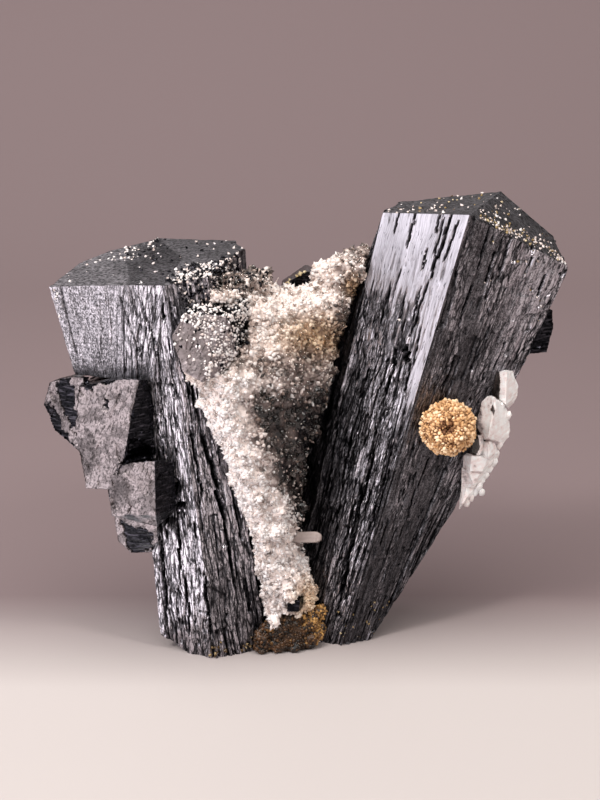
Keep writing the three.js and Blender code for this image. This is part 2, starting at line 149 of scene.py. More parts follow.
# %% Material helpers
def linear(hex_colour):
    channels = [int(hex_colour[i:i + 2], 16) / 255 for i in (1, 3, 5)]
    return [c / 12.92 if c <= 0.04045 else ((c + 0.055) / 1.055) ** 2.4 for c in channels] + [1.0]


def add_node(tree, kind, inputs=None, stops=None, output=None, **settings):
    """Adds a node and gives its output of that name, or else the first that is switched on.
    An input that is a socket gets a link, and any other value is set on it."""
    node = tree.nodes.new(kind)
    for name, value in settings.items():
        setattr(node, name, value)
    for name, value in (inputs or {}).items():
        socket = node.inputs[name]
        if isinstance(name, str):
            socket = next(s for s in node.inputs if s.name == name and s.enabled)
        if isinstance(value, bpy.types.NodeSocket):
            tree.links.new(value, socket)
        else:
            socket.default_value = value
    for index, (position, colour) in enumerate(stops or []):
        elements = node.color_ramp.elements
        element = elements[index] if index < 2 else elements.new(position)
        element.position = position
        element.color = linear(colour)
    return next(s for s in node.outputs if s.enabled and output in (None, s.name))


def layered(tree, look, *masks):
    """A look darkened by each mask in turn."""
    for mask in masks:
        look = add_node(tree, "ShaderNodeMath", {0: look, 1: mask}, operation="MULTIPLY")
    return look


def new_material(name):
    material = bpy.data.materials.new(name)
    material.use_nodes = True
    tree = material.node_tree
    return material, tree, tree.nodes["Principled BSDF"]


def painted(tree, shader, colour, rough, height, depth, strength=0.6):
    """Gives the shader its colour and roughness, and a relief of depth mm from a height."""
    bump = add_node(tree, "ShaderNodeBump", {
        "Height": height, "Strength": strength, "Distance": depth * MM})
    for name, value in (("Base Color", colour), ("Roughness", rough), ("Normal", bump)):
        tree.links.new(value, shader.inputs[name])

# %% [markdown]
# ## The room
# A sheet of paper lies under the specimen and sweeps up behind it. A plane is the start: its
# far edge is pulled up, and the crease is rounded by a wide bevel, as paper bends.

# %% Paper sweep
SWEEP_WIDTH = 2600
SWEEP_DEPTH = 1700
SWEEP_FAR = 330
SWEEP_HEIGHT = 1100
SWEEP_BEND = 150
BEND_STEPS = 24


def nothing_selected():
    if bpy.context.object and bpy.context.object.mode == "EDIT":
        bpy.ops.object.mode_set(mode="OBJECT")
    bpy.ops.object.select_all(action="DESELECT")


def only(piece):
    """Makes this the one piece that is selected and active."""
    nothing_selected()
    bpy.context.view_layer.objects.active = piece
    piece.select_set(True)


def select_where(mesh, wanted):
    """Selects the vertices whose place is wanted, and the edges and faces between them."""
    for vertex in mesh.vertices:
        vertex.select = wanted(vertex.co)
    for part in [*mesh.edges, *mesh.polygons]:
        part.select = all(mesh.vertices[i].select for i in part.vertices)


def paper_sweep():
    nothing_selected()
    middle = place(0, SWEEP_FAR - SWEEP_DEPTH / 2, 0)
    bpy.ops.mesh.primitive_plane_add(size=1, location=middle)
    sheet = bpy.context.object
    sheet.name = "paper_sweep"
    sheet.scale = (SWEEP_WIDTH * MM, SWEEP_DEPTH * MM, 1)
    bpy.ops.object.transform_apply(location=True, rotation=True, scale=True)
    far = max(v.co.y for v in sheet.data.vertices)
    select_where(sheet.data, lambda spot: abs(spot.y - far) < MM)
    bpy.ops.object.mode_set(mode="EDIT")
    bpy.ops.mesh.select_mode(type="EDGE")
    bpy.ops.mesh.extrude_edges_move(TRANSFORM_OT_translate={"value": (0, 0, SWEEP_HEIGHT * MM)})
    bpy.ops.object.mode_set(mode="OBJECT")
    select_where(sheet.data, lambda spot: abs(spot.y - far) < MM and abs(spot.z - middle.z) < MM)
    bpy.ops.object.mode_set(mode="EDIT")
    bpy.ops.mesh.bevel(offset=SWEEP_BEND * MM, segments=BEND_STEPS)
    bpy.ops.object.mode_set(mode="OBJECT")
    bpy.ops.object.shade_smooth()
    return sheet


sheet = paper_sweep()
print("paper sweep:", len(sheet.data.polygons), "faces")

# %% [markdown]
# Matt paper: no gloss to speak of. Its tone is painted by place, pale in front of the foot and
# a muted mauve grey from just behind it, so that the black crystals stand clear of it.

# %% Paper
PAPER_PALE_UNTIL = -20
PAPER_DARK_FROM = 12
PAPER_PALE, PAPER_DARK = "#bcb5b3", "#827374"
PAPER_ROUGHNESS, PAPER_GLOSS = 0.9, 0.1


def matt_paper():
    material, tree, shader = new_material("matt_paper")
    where = add_node(tree, "ShaderNodeTexCoord", output="Object")
    depth = add_node(tree, "ShaderNodeSeparateXYZ", {"Vector": where}, output="Y")
    back = add_node(tree, "ShaderNodeMapRange", {
        "Value": depth, "From Min": PAPER_PALE_UNTIL * MM, "From Max": PAPER_DARK_FROM * MM})
    tone = add_node(tree, "ShaderNodeValToRGB", {"Fac": back}, stops=[(0.0, PAPER_PALE), (1.0, PAPER_DARK)])
    tree.links.new(tone, shader.inputs["Base Color"])
    shader.inputs["Roughness"].default_value = PAPER_ROUGHNESS
    shader.inputs["Specular IOR Level"].default_value = PAPER_GLOSS
    return material


sheet.data.materials.append(matt_paper())

# %% [markdown]
# ## The lamps
# A wide window at the left is mirrored by the faces that look left, so they shine like satin,
# and a low card by those that look left and down. Two small strong keys, high at the left and
# the right, make the glints on the quartz and the laths. A soft ceiling fills the shadows, a
# card behind lights the tops, and a weak strip at the right rear draws the right-hand edge.

# %% Lamps
def lamp(name, spot, size, radiance, colour, aim=(0, 0, 32)):
    """A soft rectangular lamp at a place of the drawing, turned to a point of it."""
    data = bpy.data.lights.new(name, "AREA")
    data.shape = "RECTANGLE"
    data.size = size[0] * MM
    data.size_y = size[1] * MM
    data.energy = radiance * math.pi * data.size * data.size_y
    data.color = linear(colour)[:3]
    made = bpy.data.objects.new(name, data)
    made.location = place(*spot)
    made.rotation_mode = "QUATERNION"
    made.rotation_quaternion = (place(*aim) - place(*spot)).to_track_quat("-Z", "Y")
    made.visible_camera = False
    bpy.context.scene.collection.objects.link(made)
    return made


COOL, WARM, WARMEST, WHITE_LIGHT = "#fbfaff", "#fffbf6", "#fffaf6", "#ffffff"
ROOM_COLOUR, ROOM_LIGHT = "#b9b0ad", 0.3
# Each lamp has its place and its size in mm, its radiance and its colour
lamp("window_left", (-330, -130, 110), (460, 440), 1.9, COOL)
lamp("key_left", (-240, -260, 380), (90, 90), 42.0, WARM)
lamp("key_right", (260, -210, 300), (70, 70), 36.0, WARM)
lamp("card_left", (-105, -80, 2), (170, 160), 1.4, COOL, aim=(-105, -79.9, 60))
lamp("ceiling", (-40, -110, 430), (420, 420), 3.4, WARMEST)
lamp("card_back", (-20, 260, 190), (420, 200), 0.7, WHITE_LIGHT, aim=(0, 0, 50))
lamp("edge_right", (330, 190, 190), (60, 260), 1.6, WHITE_LIGHT)

world = bpy.data.worlds.new("room")
world.use_nodes = True
background = world.node_tree.nodes["Background"]
background.inputs["Color"].default_value = linear(ROOM_COLOUR)
background.inputs["Strength"].default_value = ROOM_LIGHT
bpy.context.scene.world = world
bpy.context.scene.view_settings.view_transform = "Standard"

# %% [markdown]
# ## Ilvaite
# Ilvaite is a black iron silicate with a lustre between glass and metal. Its colour is nearly
# black, and what the eye sees is its mirror strength, a tenth or so of the light, a little
# cool. So the shader is a dark metal: the colour is the strength of the reflection. A pit or
# split is painted black as shade, and the attribute shine paints light and shade by place on
# top of the mirror strength. The fine striation runs along the crystal: it follows the
# skin's own map, where one unit is 100 mm. The lines and pits are 0.15 to 0.6 mm wide, as on
# the coarsely striated faces of big crystals.

# %% Ilvaite finish
SKIN_UNIT = 100
BEND_SIZE, BEND = 2.6, 0.5
ILVAITE_BLACK = "#0d0d10"
ILVAITE_BRIGHT = "#d4cfd7"
BARK_GAIN = 4.4
GLOSS_DARK, GLOSS_BRIGHT = 0.5, 0.3
STRIATION_DEPTH, FAINT_LINE_SHARE = 0.07, 0.25
STREAK_MASKS = {
    # width and length in mm, detail, noise where it is darkest and where full, darkest
    "grain": (0.16, 0.3, 3.0, 0.4, 0.58, 0.52),
    "some places": (1.1, 2.4, 2.0, 0.36, 0.5, 0.35),
    "specks": (0.2, 0.42, 3.0, 0.4, 0.45, 0.25),
    "ticks": (0.42, 0.2, 2.0, 0.37, 0.41, 0.35),
    "bands": (0.5, 3.0, 3.0, 0.42, 0.5, 0.55),
    "faint lines": (0.15, 6.0, 3.0, 0.38, 0.58, 0.72),
    "dashes": (0.2, 1.8, 3.0, 0.35, 0.4, 0.2),
    "broad patches": (5, 14, 2.0, 0.35, 0.65, 0.75),
}


def ilvaite_prism(name):
    """Striated faces, guided by the skin's own attributes. With no bark and no satin a face
    has short crooked pits, with bark it has bands and cracks along the crystal, and with satin
    long faint lines. shine is how strongly a place mirrors, with painted light and shade by
    place in it, and cavity_shade is painted shade that turns a place black."""
    material, tree, shader = new_material(name)
    on_skin = {kind: add_node(tree, "ShaderNodeAttribute", output="Fac", attribute_name=kind)
               for kind in ("satin", "bark", "shine", "cavity_shade")}
    skin = add_node(tree, "ShaderNodeTexCoord", output="UV")
    bend = add_node(tree, "ShaderNodeTexNoise", {
        "Vector": skin, "Scale": SKIN_UNIT / BEND_SIZE, "Detail": 1.0}, output="Color")
    bend = add_node(tree, "ShaderNodeVectorMath", {0: bend, 1: (0.5, 0.5, 0.5)}, operation="SUBTRACT")
    bent = add_node(tree, "ShaderNodeVectorMath", {
        0: bend, 1: (BEND / SKIN_UNIT, 0, 0), 2: skin}, operation="MULTIPLY_ADD")

    def stretched(width, length):
        """The bent map, scaled so that a pattern of size 1 is width by length in mm."""
        return add_node(tree, "ShaderNodeMapping", {
            "Vector": bent, "Scale": (SKIN_UNIT / width, SKIN_UNIT / length, 1)})

    def streak_noise(width, length, detail=3.0):
        return add_node(tree, "ShaderNodeTexNoise", {
            "Vector": stretched(width, length), "Scale": 1.0, "Detail": detail, "Roughness": 0.6})

    def streaks(width, length, detail, darkest_at, full_at, darkest):
        """A mask of streaks, from its darkest value to 1."""
        return add_node(tree, "ShaderNodeMapRange", {
            "Value": streak_noise(width, length, detail), "From Min": darkest_at, "From Max": full_at,
            "To Min": darkest, "To Max": 1.0}, interpolation_type="SMOOTHSTEP")

    def thin_lines(width, length, thickness, where, darkest):
        """Thin dark lines where streaks of noise cross their middle, only in some places."""
        noise = streak_noise(width, length)
        off = add_node(tree, "ShaderNodeMath", {0: noise, 1: 0.5}, operation="SUBTRACT")
        off = add_node(tree, "ShaderNodeMath", {0: off}, operation="ABSOLUTE")
        line = add_node(tree, "ShaderNodeMapRange", {
            "Value": off, "From Min": 0.0, "From Max": thickness, "To Min": darkest, "To Max": 1.0},
            interpolation_type="SMOOTHSTEP")
        return add_node(tree, "ShaderNodeMix", {"Factor": where, "A": 1.0, "B": line}, data_type="FLOAT")

    def scales(width, length, dark, least_tone):
        """Long narrow cells about width by length in mm: a dark line round each, and each with
        a tone of its own."""
        cells = {"Vector": stretched(width, length), "Scale": 1.0}
        rim = add_node(tree, "ShaderNodeTexVoronoi", cells, voronoi_dimensions="2D",
                       feature="DISTANCE_TO_EDGE")
        line = add_node(tree, "ShaderNodeMapRange", {
            "Value": rim, "From Min": 0.02, "From Max": 0.12, "To Min": dark, "To Max": 1.0},
            interpolation_type="SMOOTHSTEP")
        pick = add_node(tree, "ShaderNodeTexVoronoi", cells, output="Color", voronoi_dimensions="2D",
                        feature="F1")
        pick = add_node(tree, "ShaderNodeSeparateColor", {"Color": pick}, output="Red")
        tone = add_node(tree, "ShaderNodeMapRange", {"Value": pick, "To Min": least_tone, "To Max": 1.0})
        return add_node(tree, "ShaderNodeMath", {0: line, 1: tone}, operation="MULTIPLY")

    def by_kind(pitted, barky, smooth):
        """The look of a place, by how much bark and how much satin its skin has."""
        rough = add_node(tree, "ShaderNodeMix", {"Factor": on_skin["bark"], "A": pitted, "B": barky},
                         data_type="FLOAT")
        return add_node(tree, "ShaderNodeMix", {"Factor": on_skin["satin"], "A": rough, "B": smooth},
                        data_type="FLOAT")

    mask = {kind: streaks(*values) for kind, values in STREAK_MASKS.items()}
    worms = thin_lines(width=0.3, length=0.7, thickness=0.06, where=mask["some places"], darkest=0.06)
    cracks = thin_lines(width=0.6, length=4.0, thickness=0.05, where=mask["some places"], darkest=0.02)
    broad_scales = scales(width=0.55, length=5.0, dark=0.08, least_tone=0.45)
    fine_scales = scales(width=0.3, length=1.8, dark=0.45, least_tone=0.6)
    pitted = layered(tree, mask["grain"], worms, mask["specks"])
    barky = layered(tree, mask["bands"], broad_scales, fine_scales, cracks)
    barky = layered(tree, barky, mask["grain"], mask["ticks"], BARK_GAIN)
    smooth = layered(tree, mask["faint lines"], mask["dashes"])
    look = by_kind(pitted, barky, smooth)
    unshaded = add_node(tree, "ShaderNodeMath", {0: 1.0, 1: on_skin["cavity_shade"]}, operation="SUBTRACT")
    look = layered(tree, look, mask["broad patches"], on_skin["shine"], unshaded)
    shallow = layered(tree, mask["faint lines"], FAINT_LINE_SHARE)
    height = by_kind(worms, layered(tree, broad_scales, fine_scales), shallow)
    colour = add_node(tree, "ShaderNodeMix", {
        "Factor": look, "A": linear(ILVAITE_BLACK), "B": linear(ILVAITE_BRIGHT)}, data_type="RGBA")
    rough = add_node(tree, "ShaderNodeMapRange", {
        "Value": look, "To Min": GLOSS_DARK, "To Max": GLOSS_BRIGHT}, interpolation_type="SMOOTHSTEP")
    painted(tree, shader, colour, rough, height, STRIATION_DEPTH)
    shader.inputs["Metallic"].default_value = 1.0
    return material


striated = ilvaite_prism("ilvaite_striated")
print("made", striated.name)

# %% [markdown]
# The ends and the small crystals have no striation to follow. There the pattern is an even
# fine grain on Object coordinates: dull dark grey on the ends, and on the small crystals
# either frosted grey, where tiny growth steps scatter the light, or glossy black with a few
# level lines painted in grey as reflections off the growth steps. Deep places are painted
# dark as shade through cavity_shade.

# %% Ilvaite ends and small crystals
CLOUD_SIZE, MOTTLE_SIZE = 4, 1.7
STROKE_TURN = math.radians(25)
STROKE_SIZE = (0.22, 0.22, 1.3)
STEP_REFLECTION_SIZE = (1.5, 1.5, 0.22)
STEP_REFLECTION_GREY = "#46444b"
FROST_GLOSS = 0.55


def ilvaite_grain(name, dark, light, grain, gloss, depth, frost=None):
    """gloss is the roughness of the smooth and of the rough grains, and frost gives the two
    colours of the frosted parts."""
    material, tree, shader = new_material(name)
    where = add_node(tree, "ShaderNodeTexCoord", output="Object")
    shine, cavity_shade = (add_node(tree, "ShaderNodeAttribute", output="Fac", attribute_name=kind)
                     for kind in ("shine", "cavity_shade"))

    def noise_mask(vector, size=1.0, detail=3.0, roughness=0.5, low=0.0, high=1.0, least=0.0):
        """Noise with spots of that size, and its mask from least below low to 1 above high."""
        noise = add_node(tree, "ShaderNodeTexNoise", {
            "Vector": vector, "Scale": 1 / size, "Detail": detail, "Roughness": roughness})
        return noise, add_node(tree, "ShaderNodeMapRange", {
            "Value": noise, "From Min": low, "From Max": high, "To Min": least, "To Max": 1.0})

    def stretched(sizes, turn=0.0):
        return add_node(tree, "ShaderNodeMapping", {
            "Vector": where, "Rotation": (0, turn, 0), "Scale": [size * MM for size in sizes]},
            vector_type="TEXTURE")

    fine, speck = noise_mask(where, grain * MM, detail=4.0, roughness=0.65, low=0.36, high=0.62)
    cloud = noise_mask(where, CLOUD_SIZE * MM, detail=3.0, low=0.35, high=0.65, least=0.55)[1]
    unshaded = add_node(tree, "ShaderNodeMath", {0: 1.0, 1: cavity_shade}, operation="SUBTRACT")
    look = layered(tree, speck, cloud, shine, unshaded)
    colour = add_node(tree, "ShaderNodeMix", {
        "Factor": look, "A": linear(dark), "B": linear(light)}, data_type="RGBA")
    rough = add_node(tree, "ShaderNodeMapRange", {"Value": look, "To Min": gloss[1], "To Max": gloss[0]})
    if frost:
        frosted = add_node(tree, "ShaderNodeAttribute", output="Fac", attribute_name="frost")
        # Painted reflections: grey level lines along the growth steps of the glossy sides.
        level = noise_mask(stretched(STEP_REFLECTION_SIZE), detail=3.0, low=0.53, high=0.7)[1]
        colour = add_node(tree, "ShaderNodeMix", {
            "Factor": level, "A": colour, "B": linear(STEP_REFLECTION_GREY)}, data_type="RGBA")
        mottle = noise_mask(where, MOTTLE_SIZE * MM, detail=5.0, roughness=0.6, low=0.47, high=0.5,
                            least=0.55)[1]
        slanted = stretched(STROKE_SIZE, STROKE_TURN)
        stroke = noise_mask(slanted, detail=2.0, low=0.36, high=0.44, least=0.3)[1]
        soft = add_node(tree, "ShaderNodeMapRange", {
            "Value": fine, "From Min": 0.36, "From Max": 0.52, "To Min": 0.4, "To Max": 1.0})
        soft = layered(tree, soft, shine, stroke, mottle)
        pale = add_node(tree, "ShaderNodeMix", {
            "Factor": soft, "A": linear(frost[0]), "B": linear(frost[1])}, data_type="RGBA")
        colour = add_node(tree, "ShaderNodeMix", {
            "Factor": frosted, "A": colour, "B": pale}, data_type="RGBA")
        rough = add_node(tree, "ShaderNodeMix", {
            "Factor": frosted, "A": rough, "B": FROST_GLOSS}, data_type="FLOAT")
    painted(tree, shader, colour, rough, fine, depth, strength=0.7)
    shader.inputs["Metallic"].default_value = 1.0
    return material


dull_end = ilvaite_grain("ilvaite_dull_end", dark="#121214", light="#a4a2a8", grain=0.45,
                         gloss=(0.38, 0.7), depth=0.12)
small_crystal = ilvaite_grain("ilvaite_small_crystal", dark="#050506", light="#26262b", grain=0.32,
                              gloss=(0.1, 0.25), depth=0.03, frost=("#1c191a", "#a69c9e"))
print("made", dull_end.name, "and", small_crystal.name)

# %% [markdown]
# ## The skin of a prism
# A growth-striated face could be carved into the solid, or modelled strip by strip. Here a
# flat grid is wrapped round the prism like a label round a bottle: each column of the grid
# follows one line from the foot to the top, and the relief presses it in by tenths of a
# millimetre. So every lath is real shape, and the pattern can follow the crystal's length.
# The front faces get a column every 0.1 mm, the hidden ones fewer.

# %% The lines round a prism
FINE = 0.1
COARSE = 0.3
PAST_ANY_END = 9.0


def skin_lines(edges, spacings):
    """Lines from foot to top all round a prism, from its [foot, top] edges in drawing mm."""
    ends = np.array(edges, float)
    middles = ends.mean(axis=1)
    along = ends[:, 1] - ends[:, 0]
    following = np.roll(np.arange(len(ends)), -1)
    inward = unit(np.cross(along, middles[following] - middles))
    widths = np.linalg.norm(middles[following] - middles, axis=1)
    feet, tops, normals, rounds, corners, faces = [], [], [], [], [], []
    passed = 0.0
    for face, (after, width) in enumerate(zip(following, widths)):
        count = max(3, round(width / spacings[face]))
        for share in np.arange(count) / count:
            feet.append(ends[face, 0] * (1 - share) + ends[after, 0] * share)
            tops.append(ends[face, 1] * (1 - share) + ends[after, 1] * share)
            side = inward[face] + (inward[face - 1] if share == 0 else 0)
            normals.append(side / max(np.linalg.norm(side), 1e-9))
            rounds.append(passed + share * width)
            corners.append(min(share, 1 - share) * width)
            faces.append(face)
        passed += width
    arrays = [np.array(part) for part in (feet, tops, normals, rounds, corners, faces)]
    return dict(zip(("feet", "tops", "inward", "rounds", "corners", "faces"), arrays), girth=passed)


def plane_of(points, outward):
    """The plane through three points, as a point and its outward normal."""
    a, b, c = np.array(points, float)
    normal = unit(np.cross(b - a, c - a))
    return a, normal * np.sign(normal @ np.array(outward, float))


def reach(lines, planes, upper):
    """How far along each line the planes let it run, from 0 at the foot to 1 at the top."""
    along = lines["tops"] - lines["feet"]
    crossings = [((point - lines["feet"]) @ normal) / (along @ normal) for point, normal in planes]
    facing = [(along @ normal) * (1 if upper else -1) > 0 for _, normal in planes]
    far = PAST_ANY_END if upper else -PAST_ANY_END
    crossings = [np.where(ok, crossing, far) for ok, crossing in zip(facing, crossings)]
    return np.min(crossings, axis=0) if upper else np.max(crossings, axis=0)


def plane_heights(planes, xy, upper):
    """The height of the lowest (upper) or highest (lower) of the planes over each place.
    A plane that leans the other way closes the side of an end, and is no roof or floor of it."""
    sign = 1 if upper else -1
    heights = [point[2] - ((xy - point[:2]) @ normal[:2]) / normal[2]
               for point, normal in planes if sign * normal[2] > 0]
    return np.min(heights, axis=0) if upper else np.max(heights, axis=0)


# %% [markdown]
# ### Laths
# Ilvaite's striation is a bundle of thin laths that end at different heights. One layer of
# laths gives every place of the face the height of the lath it lies on. Three layers, from
# broad to thin, make the bark-like relief. A lath is found by one sorted list of keys: each
# strip of laths has a stride of keys of its own, and in it a key for every break.

# %% Laths
STRIDE = 1000.0


def lath_layer(random, across, along, width, length, waver=0.06, tilt=0.0):
    """A height from 0 to 1 at each place, the same all over one lath of about that size.
    tilt is by how much a lath may lean sideways, as a share of its width."""
    phase = random.uniform(0, 2 * np.pi, 4)
    bend = np.sin(along / (length * 0.9) + phase[0]) + np.sin(along / (length * 0.37) + across + phase[1])
    across = across + waver * width * bend
    along = along - along.min()
    start = across.min()
    strips = int((across.max() - start) / width * 1.3) + 3
    edges = start + np.cumsum(random.uniform(0.4, 1.6, strips) * width)
    strip = np.searchsorted(edges, across)
    cuts = int(along.max() / length * 1.4) + 3
    breaks = np.cumsum(random.uniform(0.25, 1.75, (strips + 1, cuts)) * length, axis=1)
    breaks -= random.uniform(0, 1, (strips + 1, 1)) * length
    keys = (np.arange(strips + 1)[:, None] * STRIDE + np.clip(breaks, 0, STRIDE * 0.9)).ravel()
    lath = np.searchsorted(keys, strip * STRIDE + along)
    heights = random.uniform(0, 1, len(keys) + 1)[lath]
    if not tilt:
        return heights
    from_edge = across - np.concatenate([[start], edges])[strip]
    return heights + random.uniform(-tilt, tilt, len(keys) + 1)[lath] * from_edge / width


def softened(values, rows, columns):
    """The mean of the values round each place, so many rows and columns either way."""
    total = np.pad(values, ((rows + 1, rows), (0, 0)), mode="edge").cumsum(axis=0)
    values = (total[2 * rows + 1:] - total[:-2 * rows - 1]) / (2 * rows + 1)
    total = np.pad(values, ((0, 0), (columns + 1, columns)), mode="edge").cumsum(axis=1)
    return (total[:, 2 * columns + 1:] - total[:, :-2 * columns - 1]) / (2 * columns + 1)


# %% Wrapping a grid into a prism
MERGE = 0.002


def grid_of(name, columns, rows):
    nothing_selected()
    bpy.ops.mesh.primitive_grid_add(x_subdivisions=columns, y_subdivisions=rows, size=10 * MM)
    grid = bpy.context.object
    grid.name = name
    return grid


def closed_and_outward(piece):
    """Merges doubles, turns all faces outwards and leaves the piece in object mode."""
    only(piece)
    bpy.ops.object.mode_set(mode="EDIT")
    bpy.ops.mesh.select_all(action="SELECT")
    bpy.ops.mesh.remove_doubles(threshold=MERGE * MM)
    bpy.ops.mesh.dissolve_degenerate(threshold=MERGE * MM)
    bpy.ops.mesh.normals_make_consistent(inside=False)
    bpy.ops.object.mode_set(mode="OBJECT")


def set_attribute(mesh, name, values):
    attribute = mesh.attributes.new(name, "FLOAT", "POINT")
    attribute.data.foreach_set("value", np.asarray(values, np.float32).ravel())


def wrapped_prism(name, edges, spacings, upper, lower, rows, hub, relief, end_shine, cap_rows=(14, 8)):
    """Wraps a grid round the prism and over both its ends.

    relief(lines, across, along, points) gives the depth, cavity_shade, satin, bark and shine,
    where cavity_shade is painted shade and shine carries painted light and shade.
    hub is the (x, y) of the middle of the top and of the foot, where the end rows meet.
    end_shine(x, y) says how strongly the ends mirror, with painted shade where it varies."""
    lines = skin_lines(edges, spacings)
    low, high = reach(lines, lower, False), reach(lines, upper, True)
    t = low + (high - low) * np.linspace(0, 1, rows + 1)[:, None]
    axis = lines["tops"] - lines["feet"]
    points = lines["feet"] + axis * t[:, :, None]
    across = np.broadcast_to(lines["rounds"], t.shape)
    along = t * np.linalg.norm(axis, axis=1)
    depth, cavity_shade, satin, bark, shine = relief(lines, across, along, points)
    points = points + lines["inward"] * depth[:, :, None]
    points[:, :, 2] = np.where(t > 0.5, points[:, :, 2], np.maximum(points[:, :, 2], 0))

    def end_rows(rim, count, planes, top):
        """Rings from the rim to the hub, on the planes that trim the end."""
        rings = []
        for k in range(1, count + 1):
            share = (k / count) ** 1.6 if k < count else 1.0
            xy = rim[:, :2] * (1 - share) + np.array(hub[0 if top else 1]) * share
            z = plane_heights(planes, xy, top)
            rings.append(np.column_stack([xy, z]))
        return np.array(rings)

    top = end_rows(points[-1], cap_rows[0], upper, True)
    foot = end_rows(points[0], cap_rows[1], lower, False)[::-1]
    shell = np.concatenate([foot, points, top])
    shell = np.concatenate([shell, shell[:, :1]], axis=1)
    columns, all_rows = shell.shape[1] - 1, shell.shape[0] - 1
    piece = grid_of(name, columns, all_rows)
    mesh = piece.data
    mesh.vertices.foreach_set("co", places(shell.reshape(-1, 3)).astype(np.float32).ravel())

    def padded(values, fill):
        ends = [np.full((count, columns), fill) for count in (cap_rows[1], cap_rows[0])]
        whole = np.concatenate([ends[0], values, ends[1]])
        return np.concatenate([whole, whole[:, :1]], axis=1)

    set_attribute(mesh, "cavity_shade", padded(cavity_shade, 0.0))
    set_attribute(mesh, "satin", padded(satin, 0.5))
    set_attribute(mesh, "bark", padded(bark, 0.5))
    at_end = padded(np.zeros_like(shine), 1.0)
    set_attribute(mesh, "shine", padded(shine, 0.0) + at_end * end_shine(shell[:, :, 0], shell[:, :, 1]))
    across = np.append(lines["rounds"], lines["girth"])
    side_map = np.stack([np.broadcast_to(across, (all_rows + 1, columns + 1)), padded(along, 0.0)], axis=2)
    end_map = shell[:, :, :2]
    first, last = cap_rows[1], cap_rows[1] + rows
    corner_steps = np.array([(0, 0), (0, 1), (1, 1), (1, 0)])
    row, column = np.divmod(np.arange(columns * all_rows), columns)
    is_side = (row >= first) & (row < last)
    r = row[:, None] + corner_steps[:, 0]
    c = column[:, None] + corner_steps[:, 1]
    skin_map = np.where(is_side[:, None, None], side_map[r, c], end_map[r, c]) / SKIN_UNIT
    mesh.uv_layers[0].data.foreach_set("uv", skin_map.astype(np.float32).ravel())
    mesh.materials.append(striated)
    mesh.materials.append(dull_end)
    mesh.polygons.foreach_set("material_index", np.where(is_side, 0, 1).astype(np.int32))
    mesh.update()
    closed_and_outward(piece)
    bpy.ops.object.shade_smooth_by_angle(angle=math.radians(30))
    print(name, "columns:", columns, "triangles:", sum(len(p.vertices) - 2 for p in mesh.polygons))
    return piece


# %% [markdown]
# ### Cracks and broken places
# Besides the even relief there are a few marks of their own: long black cracks, a square hole,
# a step where laths broke off. Each is a furrow between two points that are read off as
# (x, z) on the face, with a width and a depth.

# %% Furrows
FURROW_STEPS = 9


def furrow(random, points, start, end, width, depth):
    """How deep a furrow from start to end cuts, at each place of the front faces. Its walls
    jump sideways in a few steps, because the laths beside it ended at different heights."""
    seen = points[:, :, (0, 2)]
    a, b = np.array(start, float), np.array(end, float)
    share = np.clip(((seen - a) @ (b - a)) / ((b - a) @ (b - a)), 0, 1)
    direction = unit(b - a)
    aside = direction[0] * (seen[:, :, 1] - a[1]) - direction[1] * (seen[:, :, 0] - a[0])
    jumps = random.uniform(-0.35, 0.35, FURROW_STEPS) * width
    aside = aside + jumps[np.minimum((share * FURROW_STEPS).astype(int), FURROW_STEPS - 1)]
    beyond = np.linalg.norm(seen - (a + share[:, :, None] * (b - a)), axis=2)
    away = np.where((share > 0) & (share < 1), np.abs(aside), beyond)
    in_front = points[:, :, 1] < -1
    taper = np.clip(np.minimum(share, 1 - share) * 6 + 0.35, 0, 1)
    return depth * ease(0, 0.6, 1 - away / (width / 2 * (0.5 + 0.5 * taper))) * taper * in_front


def splits(heights, least):
    """The places where the lath next door is higher or lower by at least that much."""
    jump = np.abs(np.diff(heights, axis=1, append=heights[:, :1])) > least
    return (jump | np.roll(jump, 1, axis=1)) * 1.0


def borders(heights, least, most):
    """How dark the split beside each place is: nothing for a step of least, black for most."""
    aside = np.abs(np.diff(heights, axis=1, append=heights[:, :1]))
    onward = np.abs(np.diff(heights, axis=0, append=heights[-1:]))
    aside, onward = (np.clip((step - least) / (most - least), 0, 1) for step in (aside, onward))
    return np.maximum(np.maximum(aside, np.roll(aside ** 2, 1, axis=1)), 0.8 * onward)


# Each is width and length in mm
BROAD_LATH, MIDDLE_LATH, THIN_LATH = (2.0, 18), (0.75, 5), (0.34, 1.6)
PIT_SIZE, CRACK_SIZE, TONE_SIZE = (0.26, 0.8), (0.3, 5), (0.6, 5)


